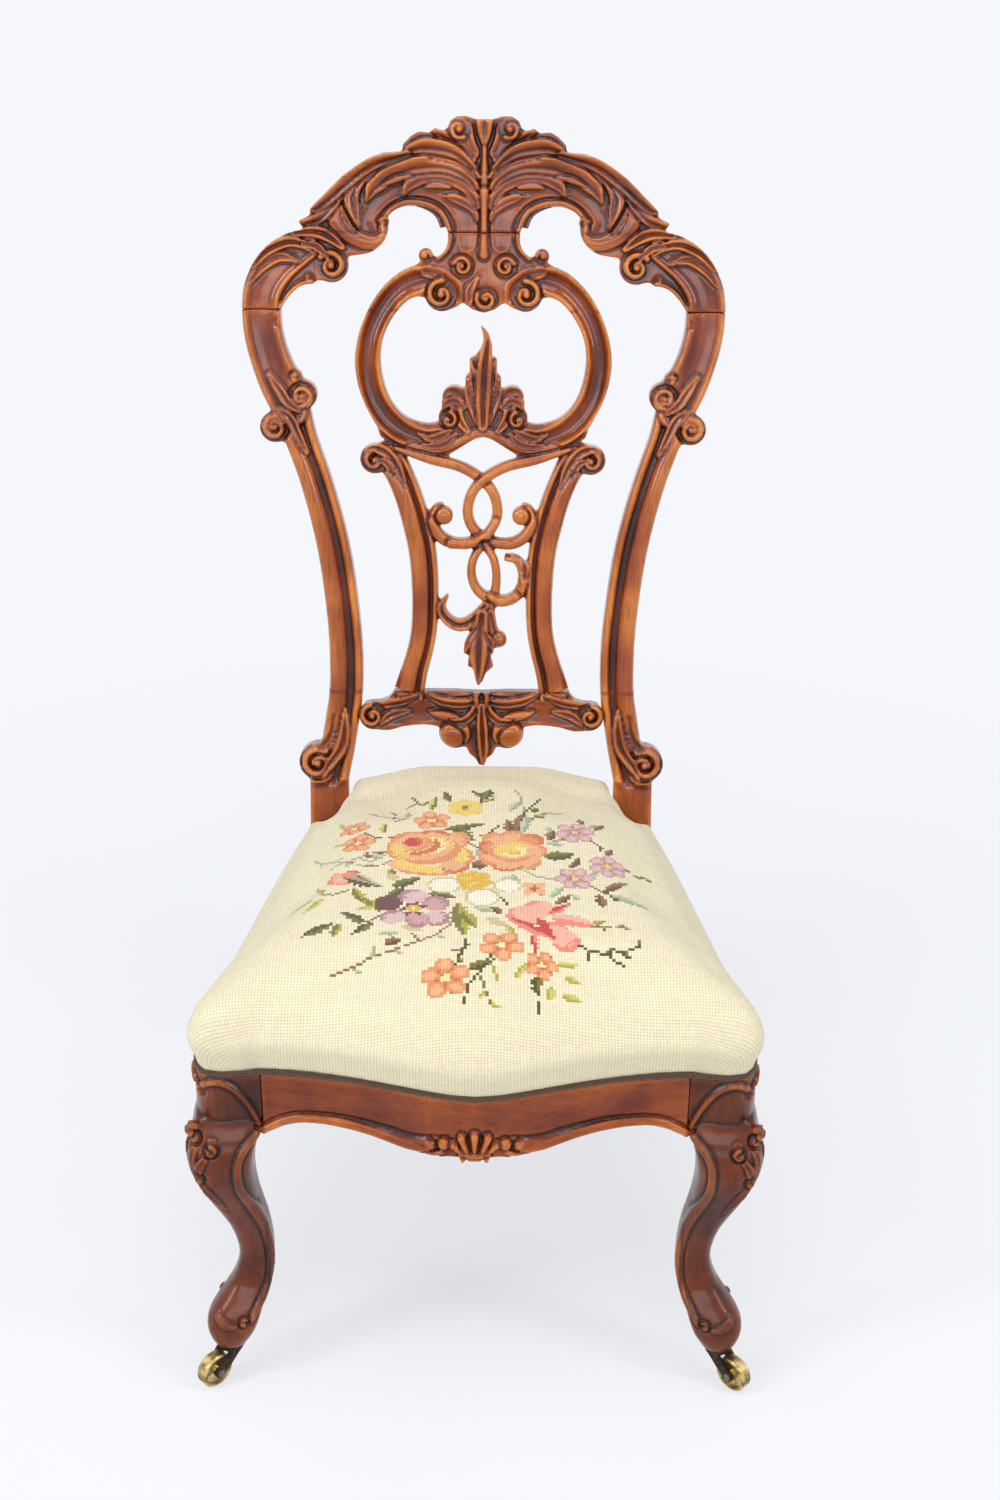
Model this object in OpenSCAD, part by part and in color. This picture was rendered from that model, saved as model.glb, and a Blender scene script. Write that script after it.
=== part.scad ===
// Carved walnut bedroom chair: pierced scrolling back, sprung and stuffed seat in
// a needlepoint cover, cabriole front legs, swept back legs and four brass castors.
// Lengths are millimetres. +X is the viewer's right, the front faces -Y, +Z is up.

/* [Seat frame] */
// Height of the top edge of the polished face of the seat rails
rail_top = 291; // [285:1:297]
// Height of the polished face of the seat rails
rail_h = 42; // [39:1:46]
// Height of the lap above that face, which the cover is tacked to
lap_h = 14; // [11:1:16]
// Depth of the rebate that lets the cover lie behind the polished face
rebate = 5; // [4.5:0.1:6]
// Thickness of the seat rails
rail_t = 26; // [23:1:28]
// Half the width over the front corners of the seat frame
front_half = 224; // [216:1:232]
// Depth from the front of the bow to the face of the back posts
seat_d = 412; // [400:1:424]
// Depth of the bow in the front rail
bow = 33.5; // [28:0.5:38]
// How far the apron hangs below the front rail at its middle
apron_drop = 13; // [9:1:16]
// Thickness of the apron that hangs below the rails
apron_t = 12; // [10:1:14]
// How far the bead stands out along the lower edge of the rails
bead_out = 3; // [2:0.5:4]
// Height of that bead
bead_h = 7; // [5:0.5:9]

/* [Front legs] */
// Width of the square top of each front leg
leg_w = 54; // [52:1:58]
// Depth of the square top of each front leg
leg_d = 44.5; // [43:0.5:50]
// Girth of the cabriole legs against the drawn one
leg_girth = 1; // [0.95:0.01:1.05]

/* [Back] */
// Half the width of the back over its ears
ear_half = 214; // [206:1:222]
// Height of the back along its rake, from its base line to the crest
back_h = 643; // [620:1:665]
// Rake of the back from upright
rake = 12; // [10:0.5:14]
// Thickness of the posts and the crest behind the carved face
plank_t = 18; // [16:1:20]
// Thickness of the pierced splat behind the carved face
splat_t = 15; // [13:1:16]
// Height that the mouldings stand proud of the face
relief = 4; // [3:0.5:5]
// Depth of the back posts from front to back at the seat
post_d = 32; // [31:1:35]
// Thickness of the back seat rail
back_rail_t = 24; // [22:1:26]

/* [Back legs] */
// Distance that the back feet sweep behind the face of the posts
sweep = 70; // [55:1:80]
// Width and depth of a back leg at its foot
rear_foot_w = 27; // [26:1:30]
// Distance from the middle of the chair to the middle of a back foot
rear_foot_x = 151; // [146:1:156]

/* [Castors] */
// Diameter of the wheels
wheel_d = 30; // [28:0.5:32]
// Width of the wheels
wheel_w = 10; // [9:0.5:11]
// Distance from the swivel to the axle
trail = 19; // [18:0.5:22]
// Thickness of the round plate under each foot
plate_t = 1.8; // [1.5:0.1:2.2]
// Radius of the round plate under each foot
plate_r = 12; // [11.5:0.1:12.5]
// Radius of the peg that holds the castor in the leg
peg_r = 3.5; // [3:0.1:4]
// Length of that peg
peg_len = 26; // [20:1:32]
// Radius of the swivel stub
stub_r = 3.9; // [3.5:0.1:4.2]
// Radius of the axle
axle_r = 2; // [1.8:0.1:2.4]
// Thickness of each arm of the horn
arm_t = 2.5; // [2:0.1:3]
// Height of the horn's hub on the stub
hub_h = 4.6; // [4:0.1:5]

/* [Joints in the wood] */
// Radius of the dowels in the back
back_dowel_r = 3.5; // [3:0.25:4]
// Radius of the dowels in the seat rails
rail_dowel_r = 4.5; // [4:0.25:5]
// Length of every dowel
dowel_len = 40; // [34:1:44]
// Radius of the screws in the corner blocks
screw_r = 2; // [1.6:0.1:2.4]
// Length of the corner blocks along each rail
block_leg = 30; // [26:1:36]
// Height of the corner blocks
block_h = 30; // [26:1:34]

/* [Seat] */
// Height of the crown of the seat above the floor
crown_z = 372; // [366:1:378]
// Thickness of the needlepoint cover with its lining
cover_t = 3; // [2.5:0.1:3.4]
// Distance that the pad swells over the rails
swell = 8; // [6:0.5:10]
// Width of a webbing strap
web_w = 50; // [46:1:54]
// Thickness of a webbing strap
web_t = 2; // [1.6:0.1:2.4]
// Height of the seat springs
spring_h = 80; // [76:1:84]
// Radius of a spring at its ends
spring_r = 37; // [34:1:40]
// Radius of a spring at its waist
waist_r = 23; // [20:1:26]
// Radius of the spring wire
wire_r = 1.7; // [1.4:0.1:2]
// Turns in a spring
spring_turns = 5; // [4:1:6]
// Thickness of the hessian over the springs
hessian_t = 1.2; // [1:0.1:1.5]
// Height of the gimp along the cover's lower edge
gimp_h = 4.5; // [3.5:0.5:6]

/* [Hidden] */

$fn = 48;
walnut = "#6b3318";
walnut_deep = "#5a2a14";
beech = "#c9a26b";
dowel_wood = "#d8b988";
brass = "#b9974e";
bronze = "#4a4038";
steel = "#8b8d90";
jute = "#a88a5c";
horsehair = "#6f6250";
wool_cream = "#e6dcb4";
gimp_brown = "#3b2417";

// Clearances between soft pieces, round turning shafts, and round dowels and screws
gap = 0.3;
run = 0.05;
push = 0.05;

// Overlap of the shapes that one timber is drawn from
knit = 0.5;

// Heights and places that several pieces share
rail_low = rail_top - rail_h;
lap_top = rail_top + lap_h;
side_low = rail_low - web_t;
joint_x = front_half - leg_w;
leg_back = bow + leg_d;
leg_x = front_half - leg_w / 2;
leg_y = bow + 20;
post_y = seat_d;
back_y = seat_d + 3;
back_z = rail_top + 9;
back_rail_y = post_y + 2;
wheel_r = wheel_d / 2;
hub_top = wheel_d + 3.2;
hub_low = hub_top - hub_h;
plate_low = hub_top + gap;
sole_z = plate_low + plate_t;

// Scale of the back against its drawing, and the joints and edges drawn on it
ku = ear_half / 214;
kv = back_h / 643;
kr = min(ku, kv);
post_in = 124 * ku;
post_out = 160 * ku;
ear_joint = 478;
neck_joint = 545;
lyre_joint = 131;
post_base = 46;

// The origin lies on the floor under the middle of the whole chair
front_reach = 14;
mid_y = (back_y + back_h * sin(rake) + plank_t * cos(rake) - front_reach) / 2;

module chair() translate([0, -mid_y, 0]) children();
module pair() {
    children();
    mirror([1, 0, 0]) children();
}
// Drawing plane of the back: x across, y up the rake, z towards the sitter
module on_back() translate([0, back_y, back_z]) rotate([90 - rake, 0, 0]) children();
// Point on the side view of the back, at v up the rake and w before the face
function side_point(v, w) = [
    back_y + v * sin(rake) - w * cos(rake), back_z + v * cos(rake) + w * sin(rake)];

// Smooth curve through hand-chosen points
function spline_at(a, b, c, d, t) =
    0.5 * (2 * b + (c - a) * t + (2 * a - 5 * b + 4 * c - d) * t * t
    + (3 * b - a - 3 * c + d) * t * t * t);
function smooth(p, k = 3) = let (n = len(p) - 1) concat(
    [for (i = [0:n - 1]) for (j = [0:k - 1])
        spline_at(p[max(i - 1, 0)], p[i], p[i + 1], p[min(i + 2, n)], j / k)],
    [p[n]]);
// Drawn points of the back, brought to its real width and height
function fit(p) = [for (q = p)
    len(q) == 3 ? [q[0] * ku, q[1] * kv, q[2] * kr] : [q[0] * ku, q[1] * kv]];
function flip(p) = [for (i = [len(p) - 1:-1:0]) [-p[i][0], p[i][1]]];
function tail(p) = [for (i = [1:len(p) - 1]) p[i]];
function total(v, i = 0) = i < len(v) ? v[i] + total(v, i + 1) : 0;

// Point beside a station of [x, y, half width], by a share f of the half width
function beside(s, i, f) = let (
    a = s[max(i - 1, 0)], b = s[min(i + 1, len(s) - 1)],
    d = [b[0] - a[0], b[1] - a[1]] / norm([b[0] - a[0], b[1] - a[1]]))
    [s[i][0] - f * s[i][2] * d[1], s[i][1] + f * s[i][2] * d[0]];
// Strip along a line of stations, between two shares of the half width
function strip(line, f1 = -1, f2 = 1, k = 3) = let (s = smooth(fit(line), k), n = len(s) - 1)
    concat([for (i = [0:n]) beside(s, i, f1)], [for (i = [n:-1:0]) beside(s, i, f2)]);

// A flat layer of the back, from a behind the face to b before it
module layer(pts, a, b) translate([0, 0, -a]) linear_extrude(a + b) polygon(pts);
// A round scroll end on the back
module scroll(c, r, a, b) {
    translate([c[0] * ku, c[1] * kv, -a]) cylinder(r = r * kr, h = a + b - 1.5);
    translate([c[0] * ku, c[1] * kv, b - 1.5]) cylinder(r = 0.62 * r * kr, h = 1.5 + relief / 2);
}
// Closed skin through rings that have the same number of points
module skin(rings) {
    n = len(rings[0]);
    m = len(rings);
    first = [for (k = [0:2]) total([for (q = rings[0]) q[k]]) / n];
    last = [for (k = [0:2]) total([for (q = rings[m - 1]) q[k]]) / n];
    sides = [for (j = [0:m - 2]) for (i = [0:n - 1]) let (
        a = j * n + i, b = j * n + (i + 1) % n) each [[a, a + n, b], [b, a + n, b + n]]];
    ends = [for (i = [0:n - 1]) let (k = (i + 1) % n) each [
        [m * n, i, k], [m * n + 1, (m - 1) * n + k, (m - 1) * n + i]]];
    polyhedron(points = concat([for (r = rings) each r], [first, last]),
        faces = concat(sides, ends), convexity = 8);
}

// Crest rail: outline of its right half, from the neck round the ear to the top
neck_edge = smooth([[32, 545], [33, 553], [38, 560], [47, 565.5], [58, 568], [68, 568],
    [78, 564.5], [85, 558]], 2);
lobe_edge = smooth([[84, 549], [85, 542], [90, 534], [98, 528], [107, 525.5], [119, 524]], 2);
ear_inner = smooth([[146, 503], [154, 500], [163, 497], [172, 488.5], [178, 480], [179, 478]], 2);
ear_outer = smooth([[214, 478], [213, 491], [209, 505], [201, 520], [190, 532], [176, 541],
    [158, 547]], 2);
crest_top = smooth([[163, 554], [152, 559], [152, 564], [140, 576], [128, 588], [117, 597],
    [103, 606], [88, 612], [71, 613]], 2);
leaf_top = [[71, 619], [64, 626], [57, 630], [48, 629], [43, 633], [36, 631], [32, 633],
    [30, 639], [24, 643], [15, 643], [8, 640.5]];
crest_half = concat(neck_edge, lobe_edge, [[122, 508], [134, 502]], ear_inner, ear_outer,
    crest_top, leaf_top);
crest_leaf = [[9, 588, 3], [28, 601, 6], [60, 606, 8], [92, 600, 9], [118, 585, 9],
    [136, 566, 8], [148, 554, 4]];
crest_bead = [[36, 549, 2.5], [42, 562, 3], [60, 570, 3], [78, 567, 3], [89, 557, 3]];
ear_bead = [[211, 478, 3], [208, 497, 3.5], [198, 518, 4], [180, 534, 5], [156, 541, 6],
    [140, 533, 6], [134, 522, 5]];

module crest_rail() color(walnut) chair() difference() {
    on_back() {
        layer(fit(concat(crest_half, flip(crest_half))), plank_t, 0);
        pair() {
            layer(strip(crest_leaf), 0.5, relief);
            layer(strip(crest_bead), 0.5, relief);
            layer(strip(ear_bead), 0.5, relief);
            scroll([134, 516], 15, plank_t, relief);
            scroll([88, 554], 5, plank_t, relief);
            scroll([152, 504], 4.5, plank_t, relief - 1);
            scroll([22, 633], 9, plank_t, relief + 2);
        }
        layer(fit([[-4, neck_joint], [4, neck_joint], [4, 579], [0, 582], [-4, 579]]), 0.5, relief);
    }
    crest_pegs(push);
    neck_pegs(push);
}

// Pierced splat: outline of its right half from the neck down to the lyre's foot
splat_neck = smooth([[32, 545], [31.5, 538], [34, 530], [40, 524.5], [47, 524], [55, 520]], 2);
oval_outer = smooth([[60, 517], [74, 511], [88, 499], [99, 484], [108, 465], [113, 447], [114.5, 432],
    [112, 413], [105, 394], [96, 377], [92, 366]], 2);
oval_hole_half = concat(
    smooth([[0, 476], [10, 479], [18, 484.5], [24, 481], [37, 477], [48, 482], [52, 489]], 2),
    smooth([[58, 489.5], [67, 486], [77, 476], [86, 461], [90.5, 446], [91, 430], [88, 413],
        [82, 398], [72, 386], [60, 380], [48, 378], [39, 380]], 2),
    smooth([[37, 388], [37, 398], [33, 407], [25, 412], [16, 409]], 2),
    [[16, 420], [12, 424], [12.5, 436], [8, 438]]);
flame_tip = smooth([[8, 448], [4, 459], [-3, 465], [0, 456], [-2, 446], [-8, 437]], 2);
lens_half = smooth([[0, 366], [8, 364], [18, 358], [30, 350.5]], 2);
lyre = [[67, 131, 14], [62, 150, 12.5], [56.5, 170, 12], [53, 190, 12], [52, 215, 12.2],
    [52.5, 240, 12.5], [55, 265, 12.7], [60.5, 290, 12.8], [67, 312, 12.5], [75, 332, 12.5],
    [84, 350, 13], [88, 362, 10]];
strand = [[68, 353, 3.5], [46, 346, 5], [23, 340.5, 5], [6, 332, 5], [-7, 320, 5], [-13, 305, 5],
    [-12, 290, 5], [-3, 277, 5], [12, 270, 5.2], [28, 270, 5.5], [40, 278, 5.5], [45, 291, 5],
    [41, 301, 5], [35, 303, 4]];
low_loop = [[2, 270, 4], [-7, 258, 4], [-10, 244, 4.2], [-6, 229, 4.5], [5, 219, 5], [18, 216, 5.5],
    [30, 220, 5.5], [37, 231, 5.5], [37, 245, 5], [31, 255, 4.5], [20, 257, 3]];
low_stem = [[2, 269, 4], [10, 256, 4], [13, 241, 4], [12, 226, 4.5], [8, 212, 5], [4, 197, 6]];
left_leaf = [[3, 212, 4], [-7, 199, 6], [-20, 193, 6], [-32, 199, 5.5], [-37, 211, 4], [-31, 222, 1.5]];
right_leaf = [[8, 205, 4], [10, 191, 4.5], [14, 181, 6]];
pendant_leaf = [[8, 197], [10, 185], [11, 168], [8, 165], [11, 155], [4, 149], [1, 141], [-3, 136],
    [-6, 143], [-8, 153], [-13, 155], [-12, 166], [-17, 167], [-16, 178], [-11, 187], [-4, 197]];
oval_band = [[54, 514, 3], [73, 506, 3.5], [91, 489, 3.5], [104, 464, 3.5], [109.5, 437, 3.5],
    [106, 407, 3.5], [92, 381, 3.5], [70, 362, 3.5], [44, 356, 3.5]];

module back_splat() color(walnut) chair() difference() {
    on_back() {
        difference() {
            layer(fit(concat([[0, 545]], splat_neck, oval_outer, [[66, 350], [48, 350]],
                [for (i = [len(lens_half) - 1:-1:0]) lens_half[i]],
                [for (i = [1:len(lens_half) - 1]) [-lens_half[i][0], lens_half[i][1]]],
                [[-48, 350], [-66, 350]], flip(oval_outer), flip(splat_neck))), splat_t, 0);
            layer(fit(concat(oval_hole_half, flame_tip,
                flip(tail(oval_hole_half)))), splat_t + 1, 1);
        }
        difference() {
            pair() layer(strip(lyre), splat_t, 0);
            lyre_foot(splat_t);
        }
        pair() {
            difference() {
                layer(strip(lyre, -1, -0.55), 0.5, relief);
                lyre_foot(splat_t);
            }
            layer(strip(oval_band), 0.5, relief);
            layer(strip(strand), splat_t - 4, 0);
            scroll([97, 346], 13.5, splat_t, relief);
            scroll([37, 492], 15, splat_t, relief);
            scroll([19, 516], 10.5, 0.5, relief);
            scroll([51, 525], 6.5, splat_t, relief - 1);
            scroll([35, 295], 8.5, splat_t - 4, relief - 2);
            scroll([26, 402], 10.5, splat_t, relief);
            scroll([31, 384], 9, splat_t, relief);
        }
        scroll([1, 488], 11, splat_t, relief);
        layer(strip(low_loop), splat_t - 4, 0);
        layer(strip(low_stem), splat_t - 4, 0);
        layer(strip(left_leaf), splat_t - 4, 0);
        layer(strip(right_leaf), splat_t - 4, 0);
        scroll([15, 180], 8, splat_t - 4, 0);
        layer(fit(pendant_leaf), splat_t - 4, 1);
        layer(fit([[-4, 532], [0, 530], [4, 532], [4, neck_joint], [-4, neck_joint]]), 0.5, relief);
    }
    neck_pegs(push);
    lyre_pegs(push);
}
// Space below the joint at the foot of the lyre
module lyre_foot(t) translate([-ear_half, (lyre_joint - 40) * kv, -t - 1])
    cube([2 * ear_half, 40 * kv, t + relief + 4]);

// Lower back rail: outline of its right half from the top edge round its end
rail_end = smooth([[81, 131], [86, 124], [93, 121]], 2);
cross_low = smooth([[100, 94], [86, 93], [72, 97], [54, 99], [40, 97]], 2);
ball_low = [[25, 76], [14, 78], [11, 71], [5, 66], [2, 60]];
cross_half = concat([[0, 130], [24, 131], [54, 131]], rail_end, [[108, 119], [112, 108], [108, 96]],
    cross_low, ball_low);
cross_bead = [[0, 125, 3.5], [25, 125, 3.5], [50, 118, 4], [70, 106, 4], [86, 103, 3.5]];

module lower_back_rail() color(walnut) chair() difference() {
    on_back() difference() {
        union() {
            layer(fit(concat(cross_half, flip(cross_half))), splat_t, 0);
            pair() {
                scroll([100, 107], 13.5, splat_t, relief);
                scroll([25, 91], 14.5, splat_t, relief);
                layer(strip(cross_bead), 0.5, relief);
            }
        }
        pair() layer(strip(post_line), plank_t + 1, relief + 4);
    }
    lyre_pegs(push);
    cross_pegs(push);
}

// Back posts: stations up the raked part, then the block and the swept leg below
post_line = [[142, 46, 18], [138, 60, 17], [133.5, 78, 16], [129, 105, 15.8], [125.5, 130, 15.6],
    [125, 165, 15.6], [127, 200, 15.2], [133, 250, 15], [141, 290, 14.6], [152, 330, 14.2],
    [163, 362, 14.5], [172, 390, 17], [181, 412, 18.5], [190, 435, 17.5], [195.5, 458, 17.3],
    [196.5, 478, 17.5]];
leg_top = rail_low - 8;
function swept(t) = pow(t, 1.7);
rear_front = [for (i = [0:10]) [
    post_y + (sweep - rear_foot_w / 2) * swept(i / 10), leg_top + (sole_z - leg_top) * i / 10]];
rear_back = [for (i = [10:-1:0]) [
    post_y + post_d + (sweep + rear_foot_w / 2 - post_d) * swept(i / 10),
    rail_low + (sole_z - rail_low) * i / 10]];
post_side = concat([side_point(post_base * kv, 0), [post_y, lap_top]], rear_front, rear_back,
    [[post_y + post_d, rail_top], side_point(post_base * kv, -plank_t)]);
post_face = [[post_in, lap_top + 60], [post_in, rail_low], [rear_foot_x - rear_foot_w / 2, sole_z],
    [rear_foot_x + rear_foot_w / 2, sole_z], [post_out, rail_low], [post_out, lap_top + 60]];

module back_post_right() color(walnut) chair() difference() {
    union() {
        on_back() {
            difference() {
                union() {
                    layer(strip(post_line), plank_t, 0);
                    layer(strip(post_line, -1, 0.15), 0.5, relief);
                    layer(strip(post_line, 0.45, 1), 0.5, relief - 1);
                }
                translate([0, ear_joint * kv, -plank_t - 1]) cube([ear_half * 2, 30, plank_t + relief + 4]);
                translate([0, (post_base - 20) * kv, -plank_t - 1])
                    cube([ear_half * 2, 20 * kv, plank_t + relief + 4]);
            }
            scroll([152, 62], 18, plank_t, relief + 1);
            scroll([186, 374], 14, plank_t, relief + 1);
            scroll([161, 403], 13, plank_t, relief + 1);
            scroll([167, 419], 5.5, plank_t, relief);
        }
        intersection() {
            translate([post_in - 30, 0, 0]) rotate([90, 0, 90]) linear_extrude(100) polygon(post_side);
            translate([0, post_y + 200, 0]) rotate([90, 0, 0]) linear_extrude(300) polygon(post_face);
        }
    }
    crest_pegs(push);
    cross_pegs(push);
    side_pegs(push);
    back_pegs(push);
    castor_peg(rear_castor, push);
    castor_screw_set(rear_castor, push);
}
module back_post_left() mirror([1, 0, 0]) back_post_right();

// Line of the front rail's face, and of the side rails' faces
nose_round = 0.3;
function bow_y(x) = let (s = sin(90 * min(abs(x) / joint_x, 1)))
    bow * (norm([s, nose_round]) - nose_round) / (norm([1, nose_round]) - nose_round);
function side_y(t) = leg_back + t * (post_y - leg_back);
function side_x(y) = front_half - 1
    - (front_half - 1 - post_out) * pow(max(0, (y - leg_back) / (post_y - leg_back)), 1.1);
face_steps = 9;
module front_plan(a, b) polygon(concat(
    [for (i = [-face_steps:face_steps]) let (x = joint_x * i / face_steps) [x, bow_y(x) + a]],
    [for (i = [face_steps:-1:-face_steps]) let (x = joint_x * i / face_steps) [x, bow_y(x) + b]]));
module side_plan(a, b) polygon(concat(
    [for (i = [0:face_steps]) let (y = side_y(i / face_steps)) [side_x(y) - a, y]],
    [for (i = [face_steps:-1:0]) let (y = side_y(i / face_steps)) [side_x(y) - b, y]]));

// Lower edge of the front apron, as shares of the half width and of the drop
apron_edge = smooth([[0, -1], [0.12, -0.9], [0.25, -1], [0.42, -0.55], [0.6, -0.12], [0.78, 0],
    [0.9, -0.25], [1, -0.85]], 3);
function apron_line(up) = [for (p = concat(flip(apron_edge), tail(apron_edge)))
    [p[0] * joint_x, rail_low + p[1] * apron_drop + up]];
// Lower edge of the side rails, from the leg to the post
side_edge = smooth([[0, -0.85], [0.08, -0.45], [0.18, -0.1], [0.3, 0], [0.8, 0], [0.92, -0.12],
    [1, -0.35]], 2);
function side_line(up) = [for (p = side_edge) [side_y(p[0]), side_low + p[1] * apron_drop + up]];

module front_band(line_a, line_b, a, b) intersection() {
    translate([0, 0, rail_low - 2 * apron_drop]) linear_extrude(rail_h + 2 * apron_drop) front_plan(a, b);
    translate([0, leg_back, 0]) rotate([90, 0, 0]) linear_extrude(2 * leg_back)
        polygon(concat(line_a, [for (i = [len(line_b) - 1:-1:0]) line_b[i]]));
}
module side_band(line_a, line_b, a, b) intersection() {
    translate([0, 0, rail_low - 2 * apron_drop]) linear_extrude(rail_h + 2 * apron_drop) side_plan(a, b);
    rotate([90, 0, 90]) linear_extrude(front_half * 1.2)
        polygon(concat(line_a, [for (i = [len(line_b) - 1:-1:0]) line_b[i]]));
}

module front_seat_rail() color(walnut_deep) chair() difference() {
    union() {
        translate([0, 0, rail_low]) linear_extrude(rail_h + lap_h) front_plan(apron_t, rail_t);
        translate([0, 0, rail_top - knit]) linear_extrude(lap_h + knit) front_plan(rebate, apron_t + knit);
        front_band(apron_line(0), [[-joint_x, rail_top], [joint_x, rail_top]], 0, apron_t + knit);
        front_band(apron_line(0), apron_line(bead_h), -bead_out, apron_t);
        pair() translate([27, bow_y(27) + set_in, rail_low - 4]) rotate([90, 0, 0])
            cylinder(r = 9, h = set_in + bead_out + 2);
        translate([0, bow_y(0) + set_in, rail_low + 9]) rotate([90, 0, 0]) shell_ornament();
    }
    front_pegs(push);
    pair() corner_screws_front(push);
}
// Scallop shell at the middle of the apron: a fan of lobes over a small lip
set_in = 5;
module shell_ornament() {
    cylinder(r = 9, h = set_in + bead_out + 3);
    linear_extrude(set_in + bead_out + 2) {
        for (a = [0:30:180]) rotate(a) translate([11.5, 0]) circle(r = 4);
        translate([-13, -19]) square([26, 20]);
    }
}

module seat_rail_right() color(walnut_deep) chair() difference() {
    union() {
        translate([0, 0, side_low]) linear_extrude(lap_top - side_low) side_plan(apron_t, rail_t);
        translate([0, 0, rail_top - knit]) linear_extrude(lap_h + knit) side_plan(rebate, apron_t + knit);
        side_band(side_line(0), [[leg_back, rail_top], [post_y, rail_top]], 0, apron_t + knit);
        side_band(side_line(0), side_line(bead_h), -bead_out, apron_t);
    }
    side_pegs(push);
    corner_screws_side(push);
}
module seat_rail_left() mirror([1, 0, 0]) seat_rail_right();

module back_seat_rail() color(beech) chair() difference() {
    translate([-post_in, back_rail_y, rail_low]) cube([2 * post_in, back_rail_t, lap_top - rail_low]);
    pair() back_pegs(push);
    pair() corner_screws_back(push);
}

// Front legs: the rounded square top, then stations of [share of the height, shift
// in x, shift in y, half width, half depth, squareness] down to the sole
leg_corner = smooth([[joint_x, bow], [front_half - 24, bow - 3], [front_half - 10, bow - 0.5],
    [front_half - 2, bow + 9.5], [front_half, bow + 24.5], [front_half - 1, leg_back]], 2);
leg_stations = smooth([[0, 6, -39.5, 13, 12.5, 2.2], [0.02, 6, -39, 15.5, 14.5, 2.3],
    [0.06, 5, -36.5, 20, 18, 2.5], [0.11, 3, -33, 22, 19.5, 2.6], [0.17, -3, -26.5, 19.5, 18.5, 2.8],
    [0.24, -11, -18, 16, 16, 3], [0.32, -15.5, -13, 14.5, 15, 3.2], [0.4, -15.5, -11.5, 14.5, 15.5, 3.2],
    [0.51, -10.5, -11.5, 16, 18, 3.2], [0.63, -1, -13.5, 19.5, 22, 3.2],
    [0.75, 6, -15.5, 24, 26.5, 3.2], [0.85, 8, -13, 27.5, 29, 3.4], [0.94, 3.5, -6, 28, 27, 3.8],
    [1, 0.5, 0.5, 26.5, 23, 5]], 2);
function power(c, e) = sign(c) * pow(abs(c), e);
leg_rings = [for (s = leg_stations) [for (i = [0:23]) let (a = 15 * i + 7.5) [
    leg_x + s[1] + leg_girth * s[3] * power(cos(a), 2 / s[5]),
    leg_y + s[2] + leg_girth * s[4] * power(sin(a), 2 / s[5]),
    sole_z + s[0] * (rail_low - sole_z)]]];

module front_leg_right() color(walnut_deep) chair() difference() {
    union() {
        translate([0, 0, rail_low]) linear_extrude(rail_h)
            polygon(concat(leg_corner, [[joint_x, leg_back]]));
        translate([0, 0, rail_top]) linear_extrude(lap_h) intersection() {
            polygon(concat(leg_corner, [[joint_x, leg_back]]));
            polygon(concat([[joint_x - 5, bow + rebate]],
                [for (k = [0:corner_steps]) corner_point(k, rebate)],
                [[front_half - 1 - rebate, leg_back + 5], [joint_x - 5, leg_back + 5]]));
        }
        skin(leg_rings);
        knee_buds();
    }
    front_pegs(push);
    side_pegs(push);
    castor_peg(front_castor, push);
    castor_screw_set(front_castor, push);
}
module front_leg_left() mirror([1, 0, 0]) front_leg_right();
// Cluster of carved buds on the outer corner of the knee
module knee_buds() for (b = [[28, -34, -6, 6], [12, -42, -18, 6.5], [24, -38, -45, 5.5]])
    translate([leg_x + b[0], leg_y + b[1] + 10, rail_low + b[2]]) sphere(r = b[3]);

// Corner blocks glued and screwed across the corners of the seat frame
module block_slab() translate([0, 0, rail_low + 6]) linear_extrude(block_h) children();
module corner_block_front_right() color(beech) chair() difference() {
    block_slab() difference() {
        polygon([[joint_x - block_leg, bow], [joint_x, bow], [joint_x, leg_back],
            [side_x(leg_back) - apron_t, leg_back],
            [side_x(leg_back + block_leg) - apron_t, leg_back + block_leg],
            [side_x(leg_back + block_leg) - rail_t, leg_back + block_leg],
            [joint_x - block_leg, bow_y(joint_x - block_leg) + rail_t]]);
        front_plan(-1, rail_t);
        side_plan(-1, rail_t);
    }
    corner_screws_front(push);
    corner_screws_side(push);
}
module corner_block_front_left() mirror([1, 0, 0]) corner_block_front_right();
module corner_block_back_right() color(beech) chair() difference() {
    block_slab() difference() {
        polygon([[post_out, post_y - block_leg], [post_out, post_y], [post_in, post_y],
            [post_in, back_rail_y], [post_in - block_leg, back_rail_y],
            [side_x(post_y - block_leg) - rail_t, post_y - block_leg]]);
        side_plan(-1, rail_t);
    }
    corner_screws_back(push);
    corner_screws_side(push);
}
module corner_block_back_left() mirror([1, 0, 0]) corner_block_back_right();

// Wood screws in the corner blocks: shank and head, or with c their holes
screw_len = 26;
module wood_screw(c, bore = 0) {
    cylinder(r = screw_r + c, h = screw_len + c);
    translate([0, 0, -bore]) cylinder(r = 1.8 * screw_r + c, h = 2.5 + bore + c);
}
screw_z = rail_low + 6 + block_h / 2;
module corner_screws_front(c) translate([joint_x - 11, bow + rail_t + 12, screw_z])
    rotate([90, 0, 0]) wood_screw(c, c > 0 ? 30 : 0);
module corner_screws_side(c) {
    translate([side_x(leg_back + 11) - rail_t - 12, leg_back + 11, screw_z])
        rotate([0, 90, 0]) wood_screw(c, c > 0 ? 30 : 0);
    translate([side_x(post_y - 14) - rail_t - 12, post_y - 14, screw_z])
        rotate([0, 90, 0]) wood_screw(c, c > 0 ? 30 : 0);
}
module corner_screws_back(c) translate([post_in - 12, back_rail_y - 12, screw_z])
    rotate([-90, 0, 0]) wood_screw(c, c > 0 ? 30 : 0);
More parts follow.
